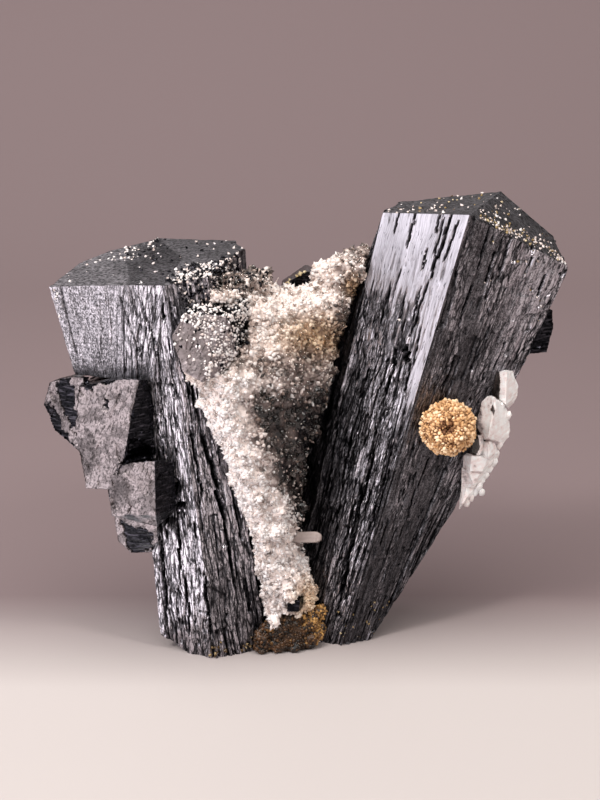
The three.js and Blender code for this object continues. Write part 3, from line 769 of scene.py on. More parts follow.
def bark_relief(seed, furrows, looks_of, strengths=(0.4, 0.2, 0.1), pits=0.04, cracks=0.05):
    """Relief in three layers of laths with thin splits between them, deep pits and cracks, and
    the marks in furrows. looks_of(lines, points) gives satin, bark and shine. strengths are the
    depths of the three layers in mm, and pits and cracks are shares of the face. Light and
    shade are painted too: hollows and splits give cavity_shade, laths pressed deeper darken
    shine, and raised crests brighten it."""
    def relief(lines, across, along, points):
        random = np.random.default_rng(seed)
        satin, bark, shine = looks_of(lines, points)
        calm = 1 - 0.85 * satin
        broad = lath_layer(random, across, along, *BROAD_LATH)
        middle = lath_layer(random, across, along, *MIDDLE_LATH, waver=0.25, tilt=0.6)
        thin = lath_layer(random, across, along, *THIN_LATH, waver=0.4, tilt=0.7)
        pit = lath_layer(random, across, along, *PIT_SIZE, waver=0.4) < pits
        crack = lath_layer(random, across, along, *CRACK_SIZE, waver=0.3) < cracks
        tone = lath_layer(random, across, along, *TONE_SIZE, waver=0.3)
        near_corner = 0.35 + 0.65 * ease(0, 0.9, lines["corners"])
        depth = (strengths[0] * broad ** 1.5 + strengths[1] * middle) * near_corner * calm
        depth = depth + strengths[2] * thin * calm
        depth = depth + 0.22 * splits(broad, 0.5) * (0.3 + 0.7 * bark) * near_corner
        depth = depth + 0.16 * splits(middle, 0.75) * bark * near_corner
        depth = depth + 0.22 * pit * calm + 0.3 * crack * near_corner * calm
        for mark in furrows:
            depth = depth + furrow(random, points, *mark)
        # Painted shade and highlight: splits and hollows go into cavity_shade, deeper laths darken shine,
        # and raised crests brighten it.
        split = np.maximum(0.95 * borders(middle, 0.1, 0.4), 0.7 * borders(thin, 0.3, 0.6)) * calm
        split = split * (0.12 + 0.88 * bark)
        hollow = depth - softened(depth, 3, 5)
        cavity_shade = np.maximum(np.clip(hollow / 0.2, 0, 1), split)
        painted_crest_highlight = np.clip(-hollow / 0.1, 0, 1) * (1 - split)
        painted_recess_shade = np.clip(middle, 0, 1) * bark
        shine = shine * (1 - (0.3 * bark + 0.06) * (1 - tone)) * (1 - 0.3 * painted_recess_shade)
        shine = shine * (1 + 0.6 * bark * painted_crest_highlight)
        depth = depth + 0.08 * split
        return depth, cavity_shade, satin, bark, shine
    return relief


print("relief tools ready")

# %% [markdown]
# ## The left crystal
# The left crystal is a column with a wider block at its upper left, which ends in an overhang.
# Both are wrapped skins on the corner points of the measured solid, and together they replace
# it. Its front is mottled by short dark pits, and turns to longer cracks at the right.

# %% Corner points of the left crystal
LEFT_COLUMN = [
    [[-5, 9, 0], [-9, 12, 53.7]],
    [[-13.5, 10.5, 0], [-20, 15, 53.3]],
    [[-19.2, 3, 0], [-25, 9, 53]],
    [[-19.6, -8.6, 0], [-23, -13, 53.9]],
    [[-11.6, -12.4, 0], [-17.7, -15, 54.6]],
    [[-4.6, -8.8, 0], [-12, -12.5, 54.6]],
    [[-3.3, 2, 0], [-7.4, 3.5, 54.8]],
]
LEFT_BLOCK = [
    [[-19, 13, 40.5], [-20, 15, 53.3]],
    [[-25, 9, 40.2], [-27, 9.5, 52.7]],
    [[-28, 4, 40], [-30.8, 3.5, 52.5]],
    [[-30.6, -8.2, 40.2], [-33.6, -9, 52.8]],
    [[-19.5, -13.6, 40.8], [-17.7, -15, 54.6]],
    [[-17, 0, 40.6], [-16, 0, 54]],
]
UP, DOWN = (0, 0, 1), (0, 0, -1)
FLOOR = plane_of([(0, 0, 0), (1, 0, 0), (0, 1, 0)], DOWN)
LEFT_TOPS = [
    plane_of([(-17.7, -15, 54.6), (-7.4, 3.5, 55.2), (-30.8, 3.5, 52.8)], UP),
    plane_of([(-12, 3, 54.9), (-7, 12, 54), (-20, 14, 53.7)], UP),
]
LEFT_CHIP = plane_of([(-19.7, -8, 2.2), (-16, -8.2, 0), (-19.6, 3, 2.4)], (-1, 0, -1))
BLOCK_FLOOR = plane_of([(-30.6, -8.2, 40.2), (-19.5, -13.6, 40.8), (-19, 13, 40.5)], DOWN)


# %% Left column
COLUMN_MARKS = [
    ((-12.9, 33.5), (-10.2, 20.5), 0.7, 0.8),
    ((-17.4, 27), (-16.4, 13), 0.5, 0.7),
    ((-18.6, 27.5), (-17.4, 19.5), 3.0, 1.0),
    ((-13.1, 13.6), (-12.6, 4), 0.5, 0.6),
    ((-16.6, 48), (-14.6, 38), 0.4, 0.6),
    ((-15.4, 46), (-13.6, 36), 0.35, 0.5),
    ((-8.4, 30.6), (-6.2, 14), 0.6, 0.6),
    ((-10.6, 24), (-9.2, 12), 0.4, 0.5),
    ((-19.2, 17), (-18.8, 6), 0.35, 0.5),
    ((-14.6, 34), (-13.2, 24), 0.4, 0.5),
    ((-15.8, 12), (-15.4, 3), 0.35, 0.5),
]


def column_looks(lines, points):
    # Painted light and shade: the faces that look right, and the low part of the front at the right, are
    # painted darker, and a band between 22 and 47 mm high is painted brighter.
    x, z = points[:, :, 0], points[:, :, 2]
    shaded_right_faces = lines["faces"] >= 4
    lower = ease(15, 12, z) * ease(-13.8, -13, x)
    upper = ease(22, 28, z) * ease(47, 43, z)
    shine = 1.08 - 0.1 * shaded_right_faces - 0.35 * lower + 0.4 * upper
    return np.full_like(z, 0.1), 1 - 0.3 * ease(44, 50, z), shine


def painted_dome_shade(x, y):
    """Painted shade of a low dome on the flat top: dull grey at the front left, nearly black at the back
    right.
    """
    return 1.12 - 0.6 * ease(-25, -10, x + 0.5 * y)


left_column = wrapped_prism(
    "left_column", LEFT_COLUMN, spacings=[COARSE, COARSE, 0.22, FINE, FINE, 0.17, COARSE],
    upper=LEFT_TOPS, lower=[FLOOR, LEFT_CHIP], rows=180, hub=[(-17, -1), (-11, -1)],
    relief=bark_relief(seed=11, furrows=COLUMN_MARKS, looks_of=column_looks), end_shine=painted_dome_shade)

# %% Left block
BLOCK_MARKS = [
    ((-24.2, 52.6), (-21, 43.6), 0.24, 0.3),
    ((-21.4, 53.2), (-19.3, 46.4), 0.26, 0.35),
    ((-22.4, 53.4), (-21.6, 49.8), 0.2, 0.25),
    ((-20, 49), (-18.6, 42), 0.26, 0.35),
]


def block_looks(lines, points):
    at_right = ease(-26.5, -21, points[:, :, 0])
    return np.full_like(at_right, 0.08), 0.05 + 0.8 * at_right, 1 + 0.15 * at_right


left_block = wrapped_prism(
    "left_block", LEFT_BLOCK, spacings=[COARSE, COARSE, 0.2, FINE, 0.3, 0.4],
    upper=LEFT_TOPS, lower=[BLOCK_FLOOR], rows=36, hub=[(-23, 0), (-23, 0)],
    relief=bark_relief(seed=23, furrows=BLOCK_MARKS, looks_of=block_looks,
                       strengths=(0.2, 0.14, 0.08), pits=0.0, cracks=0.006),
    end_shine=painted_dome_shade, cap_rows=(16, 10))

for piece in (left_column, left_block):
    stands_for("left_crystal", piece, "ilvaite")

# %% [markdown]
# ## The right crystal
# The right prism is taller, with a low roof for its end. Its left-hand front face is lustrous
# satin with long fine lines, above a ragged border below which it turns rough, and painted
# darker as shade. The face to the right of the front edge looks away from the lamp, and is
# painted nearly black as shade.

# %% Corner points of the right crystal
RIGHT_PRISM = [
    [[10.5, 5, 0], [34.5, 9, 52]],
    [[4, 8.3, 0], [28.2, 10, 61.6]],
    [[-2.3, 5.2, 0], [13.5, 8, 60]],
    [[-7.5, 2, 0], [11.3, 1.2, 60.9]],
    [[-2.6, -3.6, 0], [11.2, -0.95, 61]],
    [[1.8, -6.4, 0], [15.4, -4, 61.8]],
    [[5.8, -8, 0], [22.5, -9.2, 62.7]],
    [[13.7, -4.4, 0], [37.4, 2, 52.6]],
]
RIGHT_TOPS = [
    plane_of([(22.5, -9, 62.7), (28.2, 10, 61.6), (11.2, 0, 61)], UP),
    plane_of([(22.5, -9, 62.7), (37.4, 2, 52.6), (28.2, 10, 61.6)], UP),
    plane_of([(37.2, 0, 52.9), (36.9, 2, 49), (36.6, 9, 52)], (1, 0, 0)),
]
RIGHT_FEET = [
    FLOOR,
    plane_of([(22.9, -2.4, 19.8), (12.1, -4.6, 3.2), (20.5, 5.5, 19)], (1, 0, -1)),
    plane_of([(10, -5, 0), (12.4, -3.6, 3.4), (10.4, 5, 0)], (1, 0, -1)),
    plane_of([(-4.3, -8.8, 0), (-11.7, -12.5, 54.6), (-3, 2, 0)], (-1, 0, -1)),
]

# %% Right prism
RIGHT_MARKS = [
    ((20.1, 62.4), (17.4, 53.4), 0.42, 0.8),
    ((19.2, 61.8), (17.8, 56.5), 0.28, 0.6),
    ((20.9, 61.6), (19.2, 56), 0.3, 0.6),
    ((18.6, 62), (18.1, 59.6), 0.26, 0.5),
    ((17.3, 53.2), (14.6, 45), 0.28, 0.5),
    ((15.6, 61.8), (14.3, 57), 0.34, 0.6),
    ((13.4, 61.4), (12.6, 58.6), 0.24, 0.5),
    ((17, 57.2), (16.4, 54.4), 0.32, 0.5),
    ((16.2, 52), (14.8, 46.6), 0.24, 0.4),
    ((13.6, 54), (12.4, 49.6), 0.24, 0.4),
    ((14.3, 43.8), (14.3, 41.6), 1.0, 1.2),
    ((14.9, 41.8), (14.2, 37.5), 0.4, 0.7),
    ((12.9, 41.6), (11.4, 36.5), 0.35, 0.5),
    ((16.4, 47), (15.2, 41), 0.3, 0.4),
    ((10.2, 30), (6.4, 12), 0.45, 0.6),
    ((6.8, 30), (4.6, 16), 0.4, 0.5),
    ((8.6, 24), (5.6, 7), 0.5, 0.6),
    ((12.6, 30), (9.4, 17), 0.4, 0.5),
]


def roof_shine(x, y):
    return np.full_like(x, 0.44)


def right_looks(lines, points):
    """Bright satin above a ragged border on the left-hand front face and along the front edge,
    with painted shade: that face is darker low down and nearly black towards the V, and the
    face that looks into the V is dark. The other front face is painted dark as it looks away
    from the lamp, darker low and brighter high, with calm patches and rough ones, and painted
    glints at its upper right."""
    x, z = points[:, :, 0], points[:, :, 2]
    face = lines["faces"]
    across = np.broadcast_to(lines["rounds"], x.shape)
    ragged = 5 * np.sin(across * 3.1) + 3 * np.sin(across * 7.7 + 1) + 2 * np.sin(across * 17 + 2)
    satin_start, front_edge = (lines["rounds"][face == number][0] for number in (4, 6))
    share = (across - satin_start) / (front_edge - satin_start)
    border = 49.3 - 6.3 * ease(0.25, 0.5, share) - 11 * ease(0.74, 0.82, share) + ragged * 0.25
    satin_face = (face == 4) | (face == 5)
    upper = ease(border - 0.8, border + 0.8, z) * satin_face
    smooth_from = 49.5 - 13 * ease(0.76, 0.86, share)
    smooth = ease(smooth_from - 0.9, smooth_from + 0.9, z + ragged * 0.25) * upper
    # Painted shade on face A: darker low down, and nearly black towards the V.
    painted_low_shade = 0.3 * ease(36, 18, z)
    painted_v_shade = (1 - ease(0.2, 0.55, share)) * ease(42, 34, z)
    a_shine_with_painted_shade = (0.92 - painted_low_shade) * (1 - 0.75 * painted_v_shade)
    # Painted light on face B: darker than face A, darker low, brighter high, and glints at its upper right,
    # where b_right also roughens the bark.
    b_right = ease(27, 31, x - 0.25 * (z - 50)) * ease(34, 42, z)
    b_share = (across - front_edge) / (lines["rounds"][face == 6][-1] - front_edge)
    patches = np.sin(0.95 * across + 0.1 * z + 1.4 * np.sin(0.17 * z + 0.5 * across))
    rough = ease(-0.25, 0.35, patches + 1.3 * (b_share - 0.5) + 0.05 * ragged)
    b_shine_with_painted_light = (0.34 + 0.14 * rough + b_right) * (1 - 0.25 * ease(24, 14, z) + 0.5 * ease(44, 52, z))
    # The face that looks into the V (face 3) is painted dark as shade.
    shine = np.select([satin_face, face == 6, face == 3], [a_shine_with_painted_shade, b_shine_with_painted_light, 0.25], 0.8)
    satin = np.where(satin_face, 0.35 * upper + 0.6 * smooth, 0.0)
    b_bark = 0.22 + 0.55 * rough + 0.23 * b_right
    bark = np.select([satin_face, face == 6], [1 - 0.9 * smooth, b_bark], 1.0)
    return satin, bark, shine


right_prism = wrapped_prism(
    "right_prism", RIGHT_PRISM, spacings=[COARSE, COARSE, COARSE, 0.24, FINE, FINE, FINE, 0.26],
    upper=RIGHT_TOPS, lower=RIGHT_FEET, rows=190, hub=[(25.35, 0.5), (5, 0)],
    relief=bark_relief(seed=37, furrows=RIGHT_MARKS, looks_of=right_looks,
                       strengths=(0.42, 0.2, 0.09), pits=0.03),
    end_shine=roof_shine, cap_rows=(16, 10))
stands_for("right_crystal", right_prism, "ilvaite")

# %% [markdown]
# ## The small dark crystals
# The measured solids have the right corners but ideal flat faces. A copy of each is remeshed
# to small even squares, and then its skin is pressed in where the real one is broken: hackly
# facets a millimetre or so wide, and fine level lines on the sides that grew in steps.

# %% A copy to dress
def copy_of(node, name):
    """A copy of a node's mesh as a new piece, with its loose triangles merged."""
    piece = bpy.data.objects.new(name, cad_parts[node].data.copy())
    bpy.context.scene.collection.objects.link(piece)
    piece.data.materials.clear()
    closed_and_outward(piece)
    return piece


def applied(piece, kind, **settings):
    """Adds a modifier with these settings and applies it."""
    only(piece)
    modifier = piece.modifiers.new(kind.lower(), kind)
    for name, value in settings.items():
        setattr(modifier, name, value)
    bpy.ops.object.modifier_apply(modifier=modifier.name)


def remeshed(node, name, voxel, smoothing=0):
    """A copy of a node's mesh, cut to even squares of voxel mm and smoothed so many times."""
    piece = copy_of(node, name)
    applied(piece, "REMESH", mode="VOXEL", voxel_size=voxel * MM, adaptivity=0.0)
    if smoothing:
        applied(piece, "SMOOTH", factor=0.5, iterations=smoothing)
    return piece


def at_vertices(mesh, field):
    values = np.empty(len(mesh.vertices) * 3, np.float32)
    mesh.vertices.foreach_get(field, values)
    return values.reshape(-1, 3).astype(float)


def points_of(mesh):
    return drawn(at_vertices(mesh, "co"))


def move_to(mesh, points):
    mesh.vertices.foreach_set("co", places(points).astype(np.float32).ravel())
    mesh.update()


def facets(random, points, size, tilt):
    """Hackly breaks: each place lies on the tilted facet of the nearest of random centres.
    Gives the depth, and a random level from 0 to 1 for each facet."""
    low, high = points.min(axis=0), points.max(axis=0)
    count = int(np.prod((high - low) / size + 1))
    centres = random.uniform(low, high, (count, 3))
    slopes = random.normal(0, tilt, (count, 3))
    levels = random.uniform(0, tilt * size, count)
    tree = KDTree(count)
    for index, centre in enumerate(centres):
        tree.insert(centre, index)
    tree.balance()
    nearest = np.array([tree.find(point)[1] for point in points])
    depth = levels[nearest] + ((points - centres[nearest]) * slopes[nearest]).sum(axis=1)
    return depth, random.uniform(0, 1, count)[nearest]


def waves(random, points, length, count=24):
    """Smooth irregular relief from -1 to 1 or so, with swells of about that length."""
    directions = random.normal(0, 1, (count, 3)) / length
    phases = random.uniform(0, 2 * np.pi, count)
    return np.sin(2 * (points @ directions.T) + phases).sum(axis=1) / math.sqrt(count / 2)


def swell(random, points, *layers):
    """Soft waves over each other, each with its height and length in mm."""
    return sum(height * waves(random, points, length) for height, length in layers)


def wander(random, points, length):
    """Waves sideways and up, to make the border of a painted zone irregular."""
    return np.stack([waves(random, points, length), waves(random, points, length)], axis=1)


# %% [markdown]
# The cluster low on the left has two looks. Its fronts are frosted by countless tiny growth
# steps and read as a pinkish grey, with chips and a few glossy black facets broken into them.
# Its other sides are glossy black and carry level striations. The facets are drawn as they
# are seen from the front, in millimetres on the upright plane y = -10.

# %% Small crystal dressing
FROST_SIDE = np.array([-0.36, -0.92, -0.12])
SEEN_PLANE = -10
CHIP_SIZE = 2.2
NO_FROST = 2.0
BLACK_FACETS = [
    [(-32.5, 40.5), (-30.9, 40.6), (-30.5, 37.2), (-30.3, 33.8), (-31.3, 33.2), (-32.5, 36.5),
     (-33.4, 38.7)],
    [(-35.6, 36.6), (-34.2, 36.8), (-33, 35.6), (-32.6, 33.6), (-33.6, 31.4), (-35.6, 33)],
    [(-33.0, 33.0), (-31.6, 32.4), (-30.9, 29.4), (-31.6, 29), (-33.4, 31)],
    [(-28.9, 40.9), (-27.1, 41.2), (-27.4, 39.2), (-28.4, 38.1), (-29.2, 39.0)],
    [(-26.8, 41.3), (-24.5, 41.6), (-24.4, 40.2), (-26.5, 39.5)],
    [(-25.0, 27.2), (-23.5, 28.8), (-22.9, 28.7), (-24.9, 26.4)],
    [(-24.6, 19.6), (-20.3, 18.2), (-20.3, 15.6), (-22.1, 14.6), (-24.0, 15.7)],
    [(-26.0, 37.6), (-25.3, 36.2), (-25.6, 35.6), (-26.3, 36.6)],
]
DARK_MOTTLES = [
    [(-35.4, 37.0), (-32.8, 37.0), (-31.3, 33.0), (-30.8, 29.0), (-33.2, 31.0), (-35.5, 34.7)],
    [(-30.7, 30.8), (-28.1, 33.0), (-27.5, 30.8), (-28.8, 25.7), (-29.8, 27.2)],
    [(-25.8, 26.0), (-24.2, 27.0), (-22.6, 24.5), (-23.6, 22.0), (-25.6, 22.0)],
]


def as_seen(points):
    """Where places are seen from the camera, as x and z on the seen plane."""
    return np.stack([points[:, 0], points[:, 2] + (points[:, 1] - SEEN_PLANE) * math.tan(VIEW_DOWN)], axis=1)


def inside(spots, outline):
    """Which of the spots lie inside an outline, by counting the sides crossed."""
    x, z = spots.T
    found = np.zeros(len(x), bool)
    ends = np.array(outline, float)
    for (ax, az), (bx, bz) in zip(ends, np.roll(ends, -1, axis=0)):
        if az != bz:
            found ^= ((az > z) != (bz > z)) & (x < (bx - ax) * (z - az) / (bz - az) + ax)
    return found


def inside_any(spots, outlines):
    return np.any([inside(spots, outline) for outline in outlines], axis=0) * 1.0


def dressed_crystal(node, name, seed, voxel, frost_from=0.8, level_lines=0.07, chip=0.1, shine=1.0):
    """A small crystal with frosted, mottled and glossy black parts. Skin that looks towards
    the frosted side by more than frost_from is frosted, so above 1 there is none."""
    random = np.random.default_rng(seed)
    piece = remeshed(node, name, voxel)
    mesh = piece.data
    points, normals = points_of(mesh), at_vertices(mesh, "normal")
    facing = normals @ FROST_SIDE
    patchy = waves(random, points, 1.6)
    frost = ease(frost_from - 0.06, frost_from + 0.06, facing + 0.05 * patchy)
    spots = as_seen(points) + 0.2 * wander(random, points, 0.6)
    black = inside_any(spots, BLACK_FACETS) * (facing > 0.3)
    mottled = inside_any(spots, DARK_MOTTLES) * (facing > 0.3)
    frost = frost * (1 - black)
    sideways = points[:, 0] * 0.8 + points[:, 1] * 0.6
    lines = lath_layer(random, points[:, 2], sideways, 0.35, 5)
    depth = level_lines * lines * (1 - frost)
    chips, level = facets(random, points, CHIP_SIZE, chip)
    fine_chips, fine_level = facets(random, points, CHIP_SIZE * 0.4, chip)
    depth = depth + np.abs(chips) * (0.4 + 0.6 * frost) + 0.6 * np.abs(fine_chips) * frost
    depth = depth + 0.02 * np.abs(waves(random, points, 0.35)) + 0.25 * black
    move_to(mesh, points - normals * depth[:, None])
    set_attribute(mesh, "frost", frost)
    set_attribute(mesh, "shine", shine * (0.85 + 0.1 * level + 0.1 * fine_level) * (1 - 0.45 * mottled))
    # Deep places are painted dark as shade.
    set_attribute(mesh, "cavity_shade", np.clip((depth - 0.3) / 0.3, 0, 0.8))
    mesh.materials.append(small_crystal)
    only(piece)
    bpy.ops.object.shade_smooth_by_angle(angle=math.radians(24))
    stands_for(node, piece, "ilvaite")
    print(name, "faces:", len(mesh.polygons), "frosted share:", round(float(frost.mean()), 2))
    return piece


dressed_crystal("side_crystals", "side_group", seed=51, voxel=0.17)
# The stub is painted 1.7 times brighter than the other small crystals: a painted highlight on its face.
middle = dressed_crystal("middle_crystal", "middle_stub", seed=52, voxel=0.17, frost_from=0.2,
                         level_lines=0.03, chip=0.08, shine=1.7)
rear = dressed_crystal("rear_crystal", "rear_stub", seed=53, voxel=0.2, frost_from=NO_FROST, chip=0.07)
dressed_crystal("back_right_crystal", "back_right_stub", seed=54, voxel=0.2, frost_from=NO_FROST,
                chip=0.12)
dressed_crystal("dark_cube", "dark_grain", seed=55, voxel=0.1, frost_from=NO_FROST,
                level_lines=0.03, chip=0.03)

# %% [markdown]
# ## Quartz
# Quartz is clear as glass, with a refractive index of 1.544. What the eye sees here is mostly
# what clouds it: milky bodies, white veils, and the thousands of small faces of the crust,
# which scatter the light so that it reads as creamy sugar. One recipe serves them all: the
# colours from shadow to bright, how much light passes through, and how glossy the faces are.

# %% Quartz finishes
QUARTZ_IOR = 1.544
IRON_TINT = "#f0d8b4"
FLECK_TURN = math.radians(-24)
FLECK_STRENGTH = 1.1


def milky_quartz(name, colours, grain, clear_share=0.0, bump_depth=0.02, gloss=(0.05, 0.35), fleck=None):
    """colours: shadow, body and bright. The attribute tone picks between them, and iron says
    how much rust colours a place. gloss is the least and the most roughness. fleck is the size
    in mm of paler and darker flecks."""
    material, tree, shader = new_material(name)
    where = add_node(tree, "ShaderNodeTexCoord", output="Object")
    tone, iron = (add_node(tree, "ShaderNodeAttribute", output="Fac", attribute_name=kind)
                  for kind in ("tone", "iron"))
    fine = add_node(tree, "ShaderNodeTexNoise", {
        "Vector": where, "Scale": 1 / (grain * MM), "Detail": 3.0, "Roughness": 0.6})
    mixed = add_node(tree, "ShaderNodeMath", {0: fine, 1: 0.5}, operation="SUBTRACT")
    mixed = add_node(tree, "ShaderNodeMath", {0: mixed, 1: 0.5, 2: tone}, operation="MULTIPLY_ADD")
    if fleck:
        slanted = add_node(tree, "ShaderNodeMapping", {
            "Vector": where, "Rotation": (0, FLECK_TURN, 0), "Scale": [size * MM for size in fleck]},
            vector_type="TEXTURE")
        flecks = add_node(tree, "ShaderNodeTexNoise", {
            "Vector": slanted, "Scale": 1.0, "Detail": 4.0, "Roughness": 0.65})
        flecks = add_node(tree, "ShaderNodeMath", {0: flecks, 1: 0.55}, operation="SUBTRACT")
        mixed = add_node(tree, "ShaderNodeMath", {0: flecks, 1: FLECK_STRENGTH, 2: mixed},
                         operation="MULTIPLY_ADD")
    ramp = add_node(tree, "ShaderNodeValToRGB", {"Fac": mixed},
                    stops=[(0.0, colours[0]), (1.0, colours[2]), (0.5, colours[1])])
    rust = add_node(tree, "ShaderNodeMix", {
        "Factor": iron, "A": linear("#ffffff"), "B": linear(IRON_TINT)}, data_type="RGBA")
    colour = add_node(tree, "ShaderNodeMix", {"Factor": 1.0, "A": ramp, "B": rust}, data_type="RGBA",
                      blend_type="MULTIPLY")
    rough = add_node(tree, "ShaderNodeMapRange", {"Value": fine, "To Min": gloss[0], "To Max": gloss[1]})
    painted(tree, shader, colour, rough, fine, bump_depth)
    shader.inputs["Transmission Weight"].default_value = clear_share
    shader.inputs["IOR"].default_value = QUARTZ_IOR
    return material


milk = milky_quartz("quartz_milky_body", ("#060506", "#7c6c68", "#fff1ec"), grain=0.4, bump_depth=0.1)
sugar = milky_quartz("quartz_sugar", ("#8a766c", "#f6e6e0", "#fffafa"), grain=0.3, clear_share=0.22)
glassy = milky_quartz("quartz_glassy_grain", ("#3c3532", "#d8cac4", "#fff8f6"), grain=0.4,
                      clear_share=0.85, gloss=(0.02, 0.12))
print("made", milk.name, sugar.name, glassy.name)

# %% [markdown]
# ### Points by the thousand
# One small crystal is modelled: a short six-sided prism whose top is pulled to a
# point. Then it is copied to thousands of places, each copy with its own size, lean and turn,
# and all copies are one mesh.

# %% The small crystals to copy
def small_point(name, sides, shaft):
    """A prism of radius 1 from z 0 to shaft, with a pointed end at z 1."""
    nothing_selected()
    bpy.ops.mesh.primitive_cylinder_add(vertices=sides, radius=1, depth=shaft, location=(0, 0, shaft / 2))
    point = bpy.context.object
    point.name = name
    bpy.ops.object.transform_apply(location=True, rotation=True, scale=True)
    select_where(point.data, lambda spot: spot.z > shaft / 2)
    bpy.ops.object.mode_set(mode="EDIT")
    bpy.ops.mesh.extrude_region_move(TRANSFORM_OT_translate={"value": (0, 0, 1 - shaft)})
    bpy.ops.mesh.merge(type="CENTER")
    bpy.ops.object.mode_set(mode="OBJECT")
    return point


def shape_arrays(shape):
    """The vertices and faces of a small shape as arrays, and the shape removed."""
    vertices = np.array([v.co for v in shape.data.vertices])
    faces = [list(p.vertices) for p in shape.data.polygons]
    bpy.data.objects.remove(shape)
    return vertices, faces


quartz_point = shape_arrays(small_point("quartz_point", 6, 0.45))
quartz_stub = shape_arrays(small_point("quartz_stub", 5, 0.3))
print("point faces:", len(quartz_point[1]), "stub faces:", len(quartz_stub[1]))


# %% Copying a shape to many places
NEIGHBOUR_STEPS = [(i, j, k) for i in (-1, 0, 1) for j in (-1, 0, 1) for k in (-1, 0, 1)]


def copies(name, shape, random, spots, axes, radii, lengths, tones, finish):
    """One mesh of copies. Each has its foot at a spot (drawing mm) and points along its axis,
    and a look of its own by its tone."""
    vertices, faces = shape
    count = len(spots)
    guide = np.where(np.abs(axes[:, 2:]) < 0.9, [[0, 0, 1.0]], [[1.0, 0, 0]])
    first = unit(np.cross(guide, axes))
    second = np.cross(axes, first)
    turn = random.uniform(0, 2 * np.pi, (count, 1))
    across = first * np.cos(turn) + second * np.sin(turn)
    upward = np.cross(axes, across)
    flat = random.uniform(0.75, 1.25, (count, 1))
    x = vertices[None, :, 0:1] * (across * radii[:, None] * flat)[:, None, :]
    y = vertices[None, :, 1:2] * (upward * radii[:, None] / flat)[:, None, :]
    z = vertices[None, :, 2:3] * (axes * lengths[:, None])[:, None, :]
    points = (spots[:, None, :] + x + y + z).reshape(-1, 3)
    corners = np.concatenate([np.array(face) for face in faces])
    sizes = np.array([len(face) for face in faces])
    loops = (corners[None, :] + len(vertices) * np.arange(count)[:, None]).ravel()
    all_sizes = np.tile(sizes, count)
    mesh = bpy.data.meshes.new(name)
    mesh.vertices.add(len(points))
    mesh.vertices.foreach_set("co", places(points).astype(np.float32).ravel())
    mesh.loops.add(len(loops))
    mesh.loops.foreach_set("vertex_index", loops.astype(np.int32))
    mesh.polygons.add(len(all_sizes))
    starts = np.concatenate([[0], np.cumsum(all_sizes)[:-1]])
    mesh.polygons.foreach_set("loop_start", starts.astype(np.int32))
    mesh.update(calc_edges=True)
    mesh.validate()
    set_attribute(mesh, "tone", np.repeat(tones, len(vertices)))
    if finish is small_crystal:
        set_attribute(mesh, "shine", np.ones(len(points)))
    mesh.materials.append(finish)
    piece = bpy.data.objects.new(name, mesh)
    bpy.context.scene.collection.objects.link(piece)
    print(name, "copies:", count, "triangles:", int((all_sizes - 2).sum()))
    return piece


def spots_on(piece, random, gap, keeps):
    """Places on a mesh, at least gap mm apart, and their normals, where keeps(points, normals)."""
    mesh = piece.data
    mesh.calc_loop_triangles()
    corners = np.empty(len(mesh.loop_triangles) * 3, np.int32)
    mesh.loop_triangles.foreach_get("vertices", corners)
    triangles = points_of(mesh)[corners].reshape(-1, 3, 3)
    cross = np.cross(triangles[:, 1] - triangles[:, 0], triangles[:, 2] - triangles[:, 0])
    area = np.linalg.norm(cross, axis=1) / 2
    worth = keeps(triangles.mean(axis=1), unit(cross)) * area
    tries = int(worth.sum() / gap ** 2 * 4)
    chosen = random.choice(len(triangles), tries, p=worth / worth.sum())
    u, v = random.uniform(0, 1, (2, tries, 1))
    u, v = np.where(u + v > 1, 1 - u, u), np.where(u + v > 1, 1 - v, v)
    a, b, c = (triangles[chosen, k] for k in range(3))
    points = a + (b - a) * u + (c - a) * v
    taken = {}
    kept = []
    for index, point in enumerate(points):
        cell = tuple((point // gap).astype(int))
        near = [taken[key] for key in neighbours(cell) if key in taken]
        if all(((points[other] - point) ** 2).sum() > gap * gap for other in near):
            taken[cell] = index
            kept.append(index)
    return points[kept], unit(cross[chosen[kept]])


def neighbours(cell):
    x, y, z = cell
    return [(x + i, y + j, z + k) for i, j, k in NEIGHBOUR_STEPS]


# %% [markdown]
# ### The crust
# The body of the crust is a copy of the measured solid, remeshed and made lumpy. It is creamy
# at the left, and smoky towards the right, as clear quartz looks over the black prism. At the
# far right it is painted nearly black, as painted shade of the gap beside the prism. The
# points stand on it wherever it is open to the air: milky ones where it is pale, and more
# glassy ones where it is dark.

# %% The crust's body
CRUST_VOXEL = 0.42
crust_random = np.random.default_rng(404)
crust = remeshed("quartz_druse", "druse_body", CRUST_VOXEL, smoothing=4)
crust_points, crust_normals = points_of(crust.data), at_vertices(crust.data, "normal")
lumps = swell(crust_random, crust_points, (0.2, 2.2), (0.2, 0.9))
move_to(crust.data, crust_points + crust_normals * (0.05 + lumps)[:, None])
prism_solids = [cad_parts[node].data for node in ("left_crystal", "right_crystal")]
prism_trees = [BVHTree.FromPolygons([v.co for v in solid.vertices], [p.vertices[:] for p in solid.polygons])
               for solid in prism_solids]


def clearance(points):
    """How far each point is from the two prisms, in mm."""
    spots = places(points)
    nearest = [[tree.find_nearest(Vector(spot))[3] for spot in spots] for tree in prism_trees]
    return np.min(nearest, axis=0) / MM


